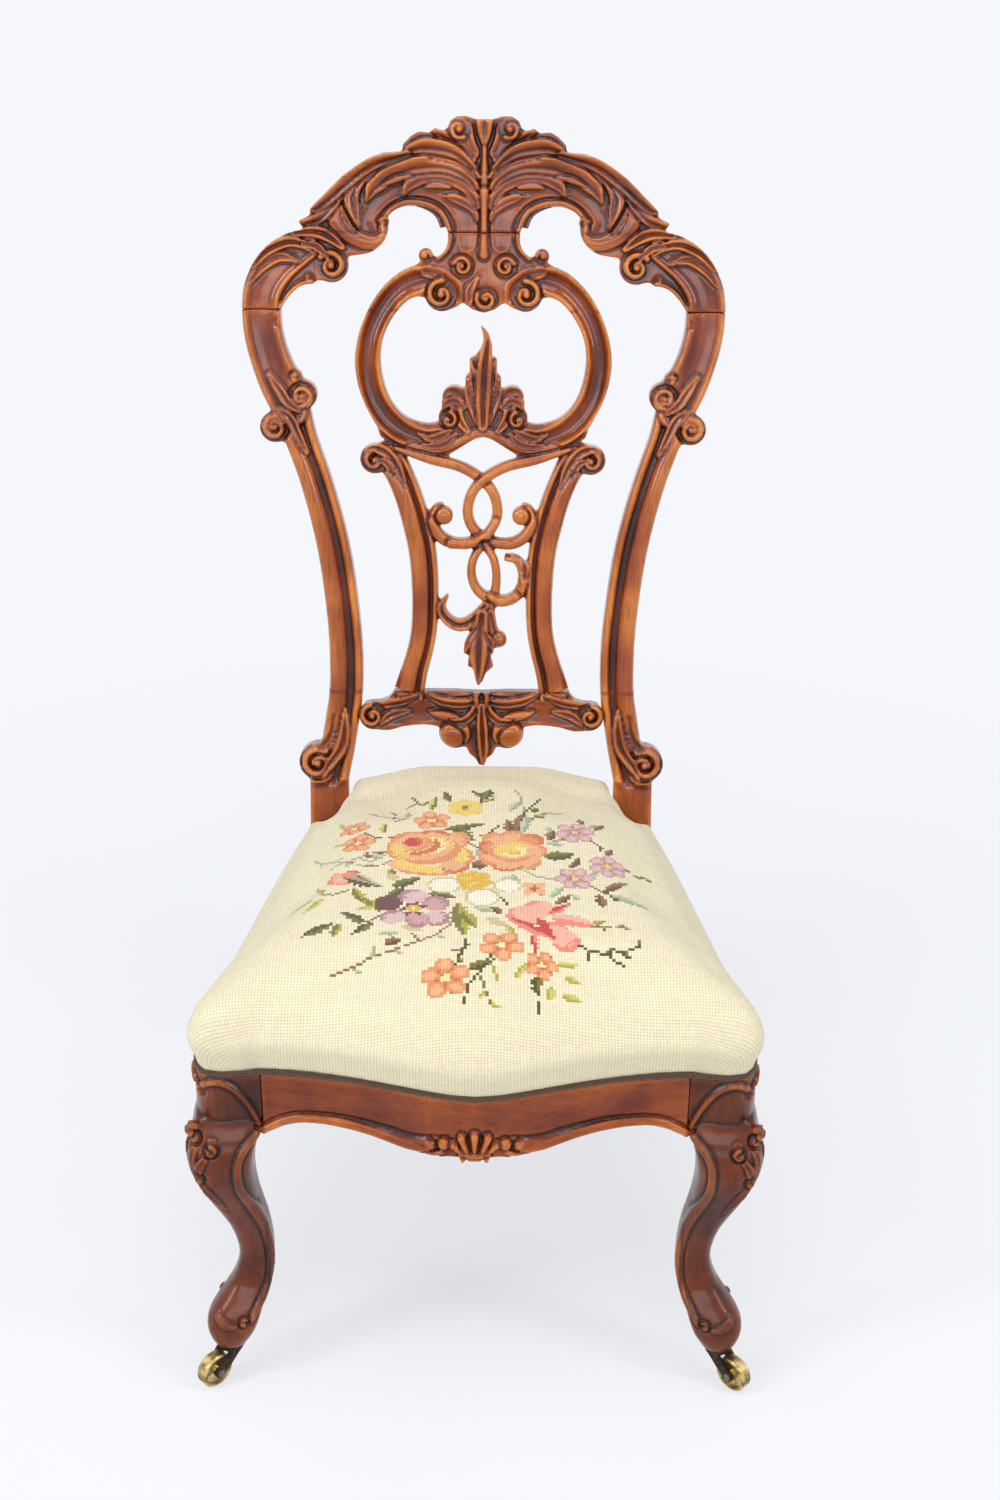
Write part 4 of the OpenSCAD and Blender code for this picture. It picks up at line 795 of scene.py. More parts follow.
def sanded(item, points, ends, free, keep, joint_gap):
    """Give a piece its carved points, sanded and inside the chair's width, and mark its wear and its painted
    light and shade.
    """
    points = relaxed(points, ends, 1, 0.4, free)
    points[:, 0] = np.clip(points[:, 0], -box_half, box_half)
    put(item.data, points)
    settled(item, "DECIMATE", ratio=keep)
    mark_wear_and_shading(item, joint_gap)


def board_gap(points):
    return np.min([np.abs(points[:, 1] - joint) for joint in board_joints], axis=0)


def carved_board(name, finish, voxel, keep, ground=0.0):
    bm = board(name)
    for v in bm.verts:
        if v.co.z > 0 and v.co.y > carving_start:
            v.co.z = 0
        elif abs(v.co.z + bead_sunk) < 0.1:
            v.co.z = -lip
    item = remeshed(mesh_object("carved_" + name, bm), voxel)
    ends = edge_ends(item.data)
    points = places(item.data)
    free = np.clip((board_gap(points) - joint_still) / joint_fade, 0, 1)
    points = relaxed(points, ends, 2, 0.5, free)
    high = np.clip((points[:, 1] - carving_foot) / (carving_start - carving_foot), 0, 1)
    field = carved_height(points[:, :2], back_strokes, np.full(len(points), float(ground)))
    points[:, 2] += field * high * np.clip(1 + points[:, 2] / face_depth, 0, 1)
    sanded(item, points, ends, free, keep, board_gap)
    dress(item, name, finish, from_bench)


carved_board("crest_rail", walnut_across, 1.1, 0.6, -1.2)
carved_board("back_splat", walnut_up, 1.15, 0.5, -0.6)
carved_board("lower_back_rail", walnut_across, 1.1, 0.7, -1.0)
carved_board("back_post_left", walnut_up, 1.5, 0.7)
carved_board("back_post_right", walnut_up, 1.5, 0.7)

# %% [markdown]
# ## The seat frame and the front legs
# The rails and legs stand upright, so they are worked standing: x runs across, y back
# from the front of the bow and z up from the floor, in millimetres. The front rail is
# first planed back to its bowed face, and its bead, shell and scroll ends are then cut
# as strokes seen from the front. A cabriole leg wears the same carving on its front and
# its outer side, so one set of strokes is cut twice, and fades out round the corner.

# %% Stand a timber up and carve it
back_rail_face = 414
seat_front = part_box("back_seat_rail")[0][1] - back_rail_face * mm
to_seat = scale_to_mm @ Matrix.Translation((0, -seat_front, 0))
from_seat = Matrix.Translation((0, seat_front, 0)) @ Matrix.Scale(mm, 4)
leg_inside, leg_back, post_front = 170, 78, 412
corner_fold = 257.5
fold_gain, facing_fade = 1.5, 0.3
front_turn, front_fade = 0.15, 0.4
frame_still, frame_fade = 1.0, 2.5
band_low, band_high = 277, 287
band_samples = 69


def from_front(points, normals):
    facing = np.clip((-normals[:, 1] - front_turn) / front_fade, 0, 1)
    return np.stack([np.abs(points[:, 0]), points[:, 2]], 1), facing


def leg_face(points, normals, side):
    """Places on a leg's outer side, or on its front, and how far each point faces that way."""
    outward = normals[:, 0] * np.sign(points[:, 0])
    turned = fold_gain * (normals[:, 1] + outward)
    across = corner_fold - points[:, 1] if side else np.abs(points[:, 0])
    facing = outward if side else -normals[:, 1]
    weight = np.clip(0.5 + (turned if side else -turned), 0, 1) * np.clip(facing / facing_fade, 0, 1)
    return np.stack([across, points[:, 2]], 1), weight


def leg_front(points, normals):
    return leg_face(points, normals, False)


def leg_side(points, normals):
    return leg_face(points, normals, True)


def plane_back(points):
    """Bring what stands before the bowed face of the front rail back to it."""
    plain = (points[:, 2] > band_low) & (points[:, 2] < band_high)
    line_x = np.linspace(-leg_inside, leg_inside, band_samples)
    half_step = line_x[1] - line_x[0]
    line_y = [points[plain & (np.abs(points[:, 0] - x) < half_step), 1].min() for x in line_x]
    points[:, 1] = np.maximum(points[:, 1], np.interp(points[:, 0], line_x, line_y))


def frame_gap(points):
    return np.min([np.abs(np.abs(points[:, 0]) - leg_inside), np.abs(points[:, 1] - leg_back),
                   np.abs(points[:, 1] - post_front)], axis=0)


def carved_timber(name, finish, voxel, keep, strokes=(), views=(), prepare=None):
    item = remeshed(mesh_object("carved_" + name, board(name, to_seat)), voxel)
    ends = edge_ends(item.data)
    points = places(item.data)
    free = np.clip((frame_gap(points) - frame_still) / frame_fade, 0, 1)
    if prepare:
        prepare(points)
    points = relaxed(points, ends, 4, 0.5, free)
    put(item.data, points)
    normals = read(item.data.vertices, "normal", 3)
    for view in views:
        uv, weight = view(points, normals)
        points = points + normals * (carved_height(uv, strokes, np.zeros(len(uv))) * weight)[:, None]
    sanded(item, points, ends, free, keep, frame_gap)
    dress(item, name, finish, from_seat)


print("front of the bow at y =", round(seat_front, 4), "m")

# %% [markdown]
# ## The apron and the cabriole legs
# The apron is the shaped lower edge of the front rail, where a long roll runs from each
# leg to a shell at the middle. A leg has scrolls and fingers of leaf on its knee, and a
# bead from there down to its foot. The side rails have their bead in the frame already,
# so they are only sanded.

# %% Strokes of the apron and the legs
soft_roll = [(-1, 0), (-0.85, 0.55), (-0.5, 0.92), (0, 1), (0.5, 0.9), (0.85, 0.5), (1, 0)]
apron_strokes = [
    stroke([(30, 247.5, 7.2), (42, 245, 7), (54, 245, 6.6), (72, 248.4, 5.8), (95, 251.6, 4.8),
            (118, 253, 4.2), (138, 252.4, 4), (152, 249, 3.8), (163, 243.5, 3.6), (174, 236, 3.4)],
           soft_roll, 4.4, 1.6),
    stroke([(35, 252, 1.6), (28.6, 250, 2.6), (28.4, 245, 2.6), (34, 241.5, 1.2)],
           [(-1, 0), (0, -1), (1, 0)], 2.6, 0.4),
    stroke([(25, 241.5, 2), (30, 239.6, 2.4), (38, 239, 2)], soft_roll, 3, 0.6),
    knob(24, 250, 5.4, 5.6, 0, 1.4),
    stroke([(0, 240, 11), (0, 244, 12)], [(-1, 0.4), (-0.6, 0.9), (0, 1), (0.6, 0.9), (1, 0.4)], 2.6, 1.4,
           lone=True),
    *[stroke([(8 * math.sin(math.radians(a)), 243, 2),
              (13 * math.sin(math.radians(a)), 244 + 8 * math.cos(math.radians(a)), 3),
              (17 * math.sin(math.radians(a)), 245 + 15 * math.cos(math.radians(a)), 4)],
             soft_roll, 5.6, 1.6) for a in (72, 36, 0)],
    stroke([(11, 241.4, 2.2), (0, 241.4, 2.4)], soft_roll, 6, 1.2),
    knob(9, 238, 2.8, 5.6, 0, 1.2),
]
leg_strokes = [
    stroke([(166, 243, 3.4), (180, 233, 3.6), (187.5, 223, 3.6), (190, 210, 3.6), (188, 190, 3.6),
            (180, 166, 3.6), (172, 141, 3.6), (168, 116, 3.6), (169, 94, 3.6), (174, 80, 3.4), (181, 69, 3),
            (186, 61, 2.4)], soft_roll, 2.6, 1.8),
    *curl(190, 61, 5.2, 120, -1, 0.42, 2.6, 0.2, 0.4, sweep=0.8),
    stroke([(193, 268, 20), (196, 250, 18)], [(-1, 0), (-0.5, 0.7), (0, 1), (0.5, 0.7), (1, 0)], 1.4, 0),
    stroke([(219, 274, 2.6), (215, 282, 3), (207, 286, 3.2), (198, 284.5, 3.3), (188, 276, 3.3),
            (179, 261, 3.2), (173, 246, 2.8), (169, 236, 1.4)], soft_roll, 3.4, 1.6),
    *curl(219, 274, 5.4, 110, -1, 0.42, 3, 0.4, 0.4, sweep=0.8),
    stroke([(212, 226, 2.2), (219, 217, 3.6), (222, 206, 3.2), (221, 196, 1.4)], finger, 2.8, 1.4),
    stroke([(222, 232, 2), (226, 222, 3), (224, 210, 1.4)], finger, 2.4, 1.2),
    stroke([(219, 198, 2.6), (212, 186, 3.4), (205, 175, 2.4), (200, 166, 0.8)], finger, 2.6, 1.2),
    *curl(224, 237, 6.6, 70, -1, 0.4, 3, 0.6, 0.4, sweep=0.9),
    *curl(211, 229, 6.8, 100, 1, 0.4, 3, 0.6, 0.4, sweep=0.9),
    *curl(220, 203, 5.6, 60, -1, 0.42, 2.6, 0.4, 0.42, sweep=0.8),
    stroke([(214, 76, 1), (213, 66, 3), (205, 60, 3.6), (196, 58, 1)], soft_roll, 1.6, 0.6),
    knob(217, 69, 4, 3, 0, 0.8),
]
carved_timber("front_seat_rail", walnut_rail, 1.2, 0.6, apron_strokes, [from_front], plane_back)
carved_timber("seat_rail_left", walnut_side, 1.7, 0.5)
carved_timber("seat_rail_right", walnut_side, 1.7, 0.5)
carved_timber("front_leg_left", walnut_leg, 1.2, 0.6, leg_strokes, [leg_front, leg_side])
carved_timber("front_leg_right", walnut_leg, 1.2, 0.6, leg_strokes, [leg_front, leg_side])

# %% [markdown]
# ## A seat that has settled
# Upholstery gives way where it is sat on and leant on: behind the front corners the sides
# lean in, and the back corners sink. The hessian, the stuffing and the cover lie on one
# another, so one function gives all three the same settled shape, and they stay clear of
# each other. Jute is a dull, loose plain weave, drawn as two waves that cross.

# %% Jute and the settled shape
rail_half_front, rail_half_back = 223, 160
post_inside = 124
pad_foot = 306
side_lean = 22
corner_sink, outer_sink = 0.3, 0.5
bow_share, pad_round = 1.1, 20
lean_start, lean_run = 55, 125
back_run, side_run = (325, 90), (45, 80)
outer_back_run, outer_side_run = (320, 85), (118, 38)
longest_edge = 9
wave_bands = 3.14


def jute(name, base, dark, thread):
    """Plain weave of jute, with threads as many millimetres apart as thread. wave_bands is how many
    bands the wave texture draws in a metre at a scale of 1."""
    made, tree, shader = new_material(name, Roughness=0.9, Specular_IOR_Level=0.2)
    place = add(tree, "TexCoord", out="Object")
    lines = [add(tree, "TexWave", place, bands_direction=way, scale=1 / (wave_bands * thread * mm),
                 distortion=0.6, detail=1.0, out=1) for way in "XY"]
    cloth = add(tree, "Math", *lines, operation="MULTIPLY")
    slub = add(tree, "TexNoise", place, scale=1 / (9 * mm), detail=5.0)
    tone = add(tree, "Math", cloth, 0.6, slub, operation="MULTIPLY_ADD")
    colour = add(tree, "ValToRGB", tone, stops=[(0.4, dark), (0.95, base)])
    surface(tree, shader, colour, cloth, 0.5, 0.8)
    return made


def eased(value, start, run):
    """0 to 1 with a soft start and end, over a run of values."""
    share = np.clip((value - start) / run, 0, 1)
    return share * share * (3 - 2 * share)


def shaped(points):
    """Seat points after years of use. The sides lean in behind the front, and the back corners sink."""
    x, y, z = np.abs(points[:, 0]), points[:, 1], points[:, 2]
    along = np.clip((y - leg_back) / (post_front - leg_back), 0, 1)
    half = rail_half_front - (rail_half_front - rail_half_back) * along ** bow_share
    high = np.clip((z - pad_foot) / pad_round, 0, 1)
    outer = np.clip((x - post_inside) / np.maximum(half - post_inside, 1), 0, 1)
    lean = side_lean * np.clip((y - lean_start) / lean_run, 0, 1) * high * outer
    sink = corner_sink * eased(y, *back_run) * eased(x, *side_run)
    sink = sink + outer_sink * eased(y, *outer_back_run) * eased(x, *outer_side_run)
    height = np.where(z > pad_foot, pad_foot + (z - pad_foot) * (1 - sink), z)
    return np.stack([points[:, 0] - np.sign(points[:, 0]) * lean, y, height], 1)


def shape(bm):
    """Give a soft piece its settled shape, after cutting its long edges."""
    bmesh.ops.triangulate(bm, faces=bm.faces)
    for _ in range(5):
        long_edges = [e for e in bm.edges if e.calc_length() > longest_edge]
        bmesh.ops.subdivide_edges(bm, edges=long_edges, cuts=1)
        bmesh.ops.triangulate(bm, faces=[f for f in bm.faces if len(f.verts) > 3])
    for v, place in zip(bm.verts, shaped(np.array([v.co for v in bm.verts]))):
        v.co = place


webbing_jute = jute("woven_jute_webbing", "#94794f", "#554229", 2.4)
hessian_jute = jute("woven_jute_hessian", "#b39c72", "#7a6543", 2.0)
print("jute ready")

# %% [markdown]
# ## Webbing
# Under the seat, jute straps 50 mm wide cross each other over and under, as a basket is
# woven, and carry the springs. They could be one flat sheet with a weave drawn on it, but
# from below the gaps between them show, so each strap is a long grid of its own that
# rises by its own thickness where it passes over.

# %% Weave the webbing
strap_x = (-68, 0, 68)
strap_y = (130, 210, 290)
strap_half, strap_thick = 25, 2.0
strap_cells = (72, 10)
edge_droop, edge_start = 0.15, 0.8
strap_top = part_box("webbing_lengthwise")[1][2] / mm


def over_and_under(along, crossings, first):
    """1 where a strap passes over, 0 where it passes under, easing from one to the next."""
    return np.interp(along, crossings, [(k + first) % 2 for k in range(len(crossings))])


def webbing(name, lengthwise):
    """Straps that each end on the rails. way is the axis that they run along."""
    bm = board(name, to_seat)
    corners = np.array([v.co for v in bm.verts])
    bm.clear()
    way, across = (1, 0) if lengthwise else (0, 1)
    rows, crossings = (strap_x, strap_y) if lengthwise else (strap_y, strap_x)
    turn = Matrix.Rotation(math.pi / 2 * way, 4, "Z")
    for k, middle in enumerate(rows):
        mine = corners[np.abs(corners[:, across] - middle) < strap_half + 1]
        ends = (mine[:, way].min(), mine[:, way].max())
        half = (ends[1] - ends[0]) / 2
        made = bmesh.ops.create_grid(bm, x_segments=strap_cells[0], y_segments=strap_cells[1], size=1,
                                     matrix=turn @ Matrix.Diagonal((half, strap_half, 1, 1)))
        centre = Vector((middle, (ends[0] + ends[1]) / 2, 0)) if lengthwise else Vector((0, middle, 0))
        for v in made["verts"]:
            v.co += centre
            over = over_and_under(v.co[way], crossings, k + across)
            edge = abs(v.co[across] - middle) / strap_half
            droop = edge_droop * max(0, edge - edge_start) / (1 - edge_start)
            v.co.z = strap_top - strap_thick * (1.5 - over) - droop
    item = mesh_object("jute_" + name, bm)
    settled(item, "SOLIDIFY", thickness=strap_thick * 0.9, offset=0.0)
    dress(item, name, webbing_jute, from_seat, smooth=False)


webbing("webbing_lengthwise", True)
webbing("webbing_crosswise", False)

# %% [markdown]
# ## Hessian
# The hessian over the springs is one sheet, stretched and tacked to the rails. The
# frame's piece gives its top side, which is cut finer, settled, smoothed and then given
# the thickness of the cloth.

# %% Stretch the hessian
underside = 0.15
smooth_rounds = 12
hessian_thick, hessian_spare = 0.9, 1.03


def stretched_hessian():
    bm = board("spring_hessian", to_seat)
    bm.normal_update()
    under = [f for f in bm.faces if f.normal.z < underside]
    bmesh.ops.delete(bm, geom=under, context="FACES")
    shape(bm)
    rim = {v for e in bm.edges if e.is_boundary for v in e.verts}
    for _ in range(smooth_rounds):
        bmesh.ops.smooth_vert(bm, verts=[v for v in bm.verts if v not in rim], factor=0.5,
                              use_axis_x=False, use_axis_y=False, use_axis_z=True)
    item = mesh_object("stretched_hessian", bm)
    settled(item, "SOLIDIFY", thickness=hessian_thick, offset=-1.0)
    dress(item, "spring_hessian", hessian_jute, from_seat, smooth=False)


stretched_hessian()

# %% [markdown]
# ## The stuffing
# Horsehair is packed over the hessian until the seat crowns. Cloth simulation gives it
# the fullness that a drawn shape lacks: the pad is remeshed into even cells of 5 mm, its
# underside is pinned to the rails, and a little air pressure swells it for 20 steps. A
# cap keeps every point near its drawn place, so that the seat keeps its height.

# %% Swell the stuffing
pad_cell = 5.0
first_sink, most_swell = 4.0, 7.0
swell_steps, sink_run = 20, 25
tacked_height, under_turn = 308.0, -0.3
hair_size = 1.2


def curled_hair():
    """Horsehair, curled by boiling: dark strands that cross in all directions."""
    made, tree, shader = new_material("curled_horsehair", Roughness=0.75)
    place = add(tree, "TexCoord", out="Object")
    layers = []
    for turn, size in (((0.4, 0.2, 0.3), (1, 0.08, 0.3)), ((0.1, 0.9, 1.9), (0.3, 1, 0.08))):
        combed = add(tree, "Mapping", place, rotation=turn, scale=size)
        layers.append(add(tree, "TexNoise", combed, scale=1 / (hair_size * mm), detail=3.0, distortion=1.5))
    tangle = add(tree, "Math", *layers, operation="MAXIMUM")
    colour = add(tree, "ValToRGB", tangle, stops=[(0.45, "#14100d"), (0.75, "#6a5240")])
    surface(tree, shader, colour, tangle, hair_size, 0.9)
    return made


def swollen(item):
    """Where air pressure moves the points of a pad that is in metres."""
    pinned = item.vertex_groups.new(name="tacked")
    low = places(item.data)[:, 2] / mm < tacked_height
    held = np.flatnonzero(low | (read(item.data.vertices, "normal", 3)[:, 2] < under_turn))
    pinned.add(held.tolist(), 1.0, "REPLACE")
    cloth = item.modifiers.new("cloth", "CLOTH")
    cloth.settings.quality = 5
    cloth.settings.mass = 0.3
    cloth.settings.use_pressure = True
    cloth.settings.uniform_pressure_force = 4
    cloth.settings.vertex_group_mass = "tacked"
    cloth.settings.effector_weights.gravity = 0
    cloth.point_cache.frame_start = 1
    cloth.point_cache.frame_end = swell_steps
    scene = bpy.context.scene
    for step in range(1, swell_steps + 1):
        scene.frame_set(step)
    seen = item.evaluated_get(bpy.context.evaluated_depsgraph_get())
    moved = places(seen.to_mesh())
    seen.to_mesh_clear()
    item.modifiers.clear()
    item.vertex_groups.clear()
    scene.frame_set(1)
    return moved


def stuffing():
    """The pad, its drawn points, and how far the swelling moved each, in millimetres."""
    item = remeshed(mesh_object("horsehair_stuffing", board("seat_stuffing", to_seat)), pad_cell)
    ends = edge_ends(item.data)
    drawn = shaped(relaxed(places(item.data), ends, 3))
    put(item.data, drawn)
    change = np.zeros_like(drawn)
    start = drawn.copy()
    start[:, 2] -= first_sink * np.clip((drawn[:, 2] - tacked_height) / sink_run, 0, 1)
    put(item.data, start * mm)
    change = swollen(item) / mm - drawn
    far = np.linalg.norm(change, axis=1)
    change *= np.minimum(1, most_swell / np.maximum(far, 1e-6))[:, None]
    change = relaxed(change, ends, 6)
    print("stuffing swelled by up to", round(float(far.max()), 1), "mm, kept to", most_swell)
    put(item.data, drawn + change)
    return item, drawn, change


pad, pad_drawn, pad_change = stuffing()

# %% [markdown]
# ## Pulling canvas over the pad
# The cover is needlepoint on canvas with ten holes to the inch, so one stitch is 2.54 mm.
# It is made stitch by stitch: a flat grid with one face for each stitch is laid over the
# seat so that its rows stay straight on top, run straight down each side, and fan out at
# the corners, where the upholsterer eases the cloth. The frame's cover gives its shape:
# a section is cut through it outwards from the edge of the flat top, and each row of
# stitches walks down the section by its own length of cloth.

# %% Cut sections through the seat
stitch = 2.54
top_front, top_back = 48.0, 366.0
top_half_front, top_half_back = 172.0, 104.0
seat_middle_y = 215.0
foot_height = 300.0
fan_cuts = 40
outside, least_reach = 500, 5
rim_turn = -0.9
tilts = np.radians(np.concatenate([np.linspace(90, 20, 36), np.linspace(18, -16, 46)]))

skin_bm = board("seat_cover", to_seat)
shape(skin_bm)
skin = BVHTree.FromBMesh(skin_bm)
skin_bm.free()


def top_half(y):
    return np.interp(y, (top_front, top_back), (top_half_front, top_half_back))


def section(x, y, dx, dy):
    """Cloth length and place of points on the seat's skin, from above (x, y) out and down to its rim."""
    foot = Vector((x, y, foot_height))
    found = []
    for tilt in tilts:
        way = Vector((dx * math.cos(tilt), dy * math.cos(tilt), math.sin(tilt)))
        hit, normal, _, _ = skin.ray_cast(foot + way * outside, -way)
        if hit is None or normal.z < rim_turn or (hit - foot).dot(way) < least_reach:
            break
        found.append(hit)
    line = np.array(found)
    steps = np.linalg.norm(line[1:] - line[:-1], axis=1)
    return np.concatenate([[0], np.cumsum(steps)]), line


def walk(cut, far):
    """Places on a section after far millimetres of cloth, stopping at its rim, and the cloth left over."""
    run, line = cut
    return np.stack([np.interp(far, run, line[:, axis]) for axis in range(3)] + [far - run[-1]], 1)


def laid(flat):
    """Places on the seat of flat canvas points (x, y), and how far each lies past the rim."""
    x, y = flat.T
    out = np.full((len(flat), 4), -99.0)
    row = np.clip(y, top_front, top_back)
    half = top_half(row)
    inside = (np.abs(x) <= half) & (row == y)
    for k in np.flatnonzero(inside):
        out[k, :3] = skin.ray_cast(Vector((x[k], y[k], outside)), Vector((0, 0, -1)))[0]
    for hand in (-1, 1):
        beside = (row == y) & (x * hand > half)
        for level in np.unique(y[beside]):
            mine = np.flatnonzero(beside & (y == level))
            cut = section(hand * top_half(level), level, hand, 0)
            out[mine] = walk(cut, np.abs(x[mine]) - top_half(level))
    for end, way, edge in ((top_front, -1, top_half_front), (top_back, 1, top_half_back)):
        past = (y - end) * way > 0
        for column in np.unique(x[past & (np.abs(x) <= edge)]):
            mine = np.flatnonzero(past & (x == column))
            out[mine] = walk(section(column, end, 0, way), np.abs(y[mine] - end))
        for hand in (-1, 1):
            mine = np.flatnonzero(past & (x * hand > edge))
            off = np.stack([np.abs(x[mine]) - edge, np.abs(y[mine] - end)], 1)
            angle = np.arctan2(off[:, 1], off[:, 0]) / (math.pi / 2) * fan_cuts
            cuts = [section(hand * edge, end, hand * math.cos(a), way * math.sin(a))
                    for a in np.linspace(0, math.pi / 2, fan_cuts + 1)]
            near = np.minimum(angle.astype(int), fan_cuts - 1)
            share = (angle - near)[:, None]
            far = np.hypot(off[:, 0], off[:, 1])
            for k in range(fan_cuts):
                here = near == k
                if here.any():
                    out[mine[here]] = (walk(cuts[k], far[here]) * (1 - share[here])
                                       + walk(cuts[k + 1], far[here]) * share[here])
    return out


print("a section at the middle of the front has", round(section(0, top_front, 0, -1)[0][-1]), "mm of cloth")

# %% [markdown]
# ## The flat canvas
# The canvas is a flat grid with one face for each stitch. Its flat places are kept, since
# the picture and the stitches are drawn on them, and each point's place on the seat is
# worked out from them. That keeps every stitch square to its neighbours, which a pattern
# wrapped round the finished seat would not be.

# %% Lay the canvas
side_cloth, front_cloth, back_cloth = 126, 92, 300
columns = 2 * round((top_half_front + side_cloth) / stitch)
rows_front = round((seat_middle_y + front_cloth) / stitch)
rows_back = round(back_cloth / stitch)
rows = rows_front + rows_back
canvas_bm = bmesh.new()
bmesh.ops.create_grid(canvas_bm, x_segments=columns, y_segments=rows, size=1, matrix=(
    Matrix.Translation((0, seat_middle_y + (rows_back - rows_front) * stitch / 2, 0))
    @ Matrix.Diagonal((columns * stitch / 2, rows * stitch / 2, 1, 1))))
canvas = mesh_object("needlepoint_cover", canvas_bm)
canvas_flat = places(canvas.data)[:, :2].round(4)
canvas_places = laid(canvas_flat)
print("canvas of", columns, "by", rows, "stitches")

# %% [markdown]
# ## The bouquet
# Needlepoint is a picture in squares, so the wool of each stitch is chosen at its centre
# on the flat canvas, before the cover is pulled on. The pattern is a traditional loose
# bouquet: roses, a purple pansy, a coral lily and small flowers among sprigs of olive and
# grey leaves on cream. Each kind of motif is a small function that claims the stitches
# inside its outline. Sizes are in millimetres on the canvas, x across and y back from the
# front of the seat. What is painted later lies over what came before.

# %% Wools and motifs
wools = {
    "cream": "#eee2bf", "orange_light": "#efb07e", "orange": "#e5935f", "orange_deep": "#cf7343",
    "yellow": "#efcf68", "pale_yellow": "#f5e2a4", "gold": "#e4b43a", "red": "#c9432e", "coral": "#ee8a76",
    "coral_light": "#f4b49d", "lilac": "#cf9f9c", "lilac_light": "#dfbcb4", "mauve": "#b4838a",
    "plum": "#70414a", "brown": "#956b42", "brown_dark": "#6a4826", "olive": "#7d7530",
    "olive_dark": "#545020", "lime": "#b0a83c", "lime_light": "#cdc868", "green_grey": "#a5aa82",
    "blue_green": "#9fae8e", "pale_green": "#c6cdaa", "white": "#f6efd6", "beige": "#d2c08c",
}
wool_names = list(wools)
face_corners = read(canvas.data.polygons, "vertices", 4, np.int64)
stitch_x, stitch_y = canvas_flat[face_corners].mean(1).T
picture = np.zeros(len(stitch_x), dtype=np.int64)
column, row = np.floor(stitch_x / stitch), np.floor(stitch_y / stitch)
mingled = np.where((column + 2 * row) % 3 == 0, 0.86, 1.06)


def claim(where, wool):
    picture[where] = wool_names.index(wool)


def oval(x, y, rx, ry, turn=0):
    """Below 1 inside an oval whose rx lies along turn, in degrees."""
    c, s = math.cos(math.radians(turn)), math.sin(math.radians(turn))
    across, along = stitch_x - x, stitch_y - y
    return np.hypot((across * c + along * s) / rx, (along * c - across * s) / ry)


def petal(x, y, rx, ry, turn, light, dark, shade, share=0.24):
    """An oval petal with a dark edge on the side of the angle shade."""
    c, s = math.cos(math.radians(shade)), math.sin(math.radians(shade))
    whole = oval(x, y, rx, ry, turn) < 1
    claim(whole, dark)
    claim(whole & (oval(x - share * 2 * rx * c, y - share * 2 * ry * s, rx, ry, turn) < mingled), light)


def flower(x, y, r, light, mid, dark, heart="yellow", count=5, start=90):
    """Round petals about a heart, each one darker where it meets the heart and its neighbour."""
    for k in range(count):
        angle = start + 360 / count * k
        c, s = math.cos(math.radians(angle)), math.sin(math.radians(angle))
        petal(x + 0.58 * r * c, y + 0.58 * r * s, 0.45 * r, 0.4 * r, angle, mid, dark, angle + 200, 0.1)
        claim(oval(x + 0.66 * r * c, y + 0.66 * r * s, 0.26 * r, 0.22 * r, angle) < 1, light)
    claim(oval(x, y, 0.24 * r, 0.24 * r) < 1, dark)
    claim(oval(x, y, 0.19 * r, 0.19 * r) < 1, heart)


def leaf_shape(x0, y0, x1, y1, wide, light, dark):
    """A pointed leaf from stem to tip, light on one side of its rib and dark on the other."""
    long = math.hypot(x1 - x0, y1 - y0)
    c, s = (x1 - x0) / long, (y1 - y0) / long
    along = ((stitch_x - x0) * c + (stitch_y - y0) * s) / long
    side = (stitch_y - y0) * c - (stitch_x - x0) * s
    within = np.clip(along, 0, 1)
    edge = wide / 2 * np.sin(math.pi * within ** 0.8) ** 0.8 * (1 + 0.18 * np.sin(within * long))
    inside = (along > 0) & (along < 1) & (np.abs(side) < np.maximum(edge, 0.9))
    claim(inside, light)
    claim(inside & (side < 0.1), dark)


def stem(wool, *points, half=1.05):
    for (x0, y0), (x1, y1) in zip(points, points[1:]):
        reach = np.clip(((stitch_x - x0) * (x1 - x0) + (stitch_y - y0) * (y1 - y0))
                        / ((x1 - x0) ** 2 + (y1 - y0) ** 2), 0, 1)
        claim(np.hypot(stitch_x - x0 - reach * (x1 - x0), stitch_y - y0 - reach * (y1 - y0)) < half, wool)


def sprig(wool, leaf_light, leaf_dark, size, *points):
    """A stem with a small leaf at each point, left and right in turn."""
    stem(wool, *points)
    for k, ((x0, y0), (x1, y1)) in enumerate(zip(points, points[1:])):
        heading = math.atan2(y1 - y0, x1 - x0) + (0.9 if k % 2 else -0.9)
        leaf_shape(x1, y1, x1 + size * math.cos(heading), y1 + size * math.sin(heading),
                   size * 0.5, leaf_light, leaf_dark)


print("wools:", len(wools), "for", len(picture), "stitches")

# %% [markdown]
# ## Stems, sprigs and leaves
# Leaves lie under the flowers, so they are stitched first. A stem is a line about one
# stitch wide, a sprig is a stem with a small leaf at each bend, and a leaf is given by
# its stem, its tip and its width.

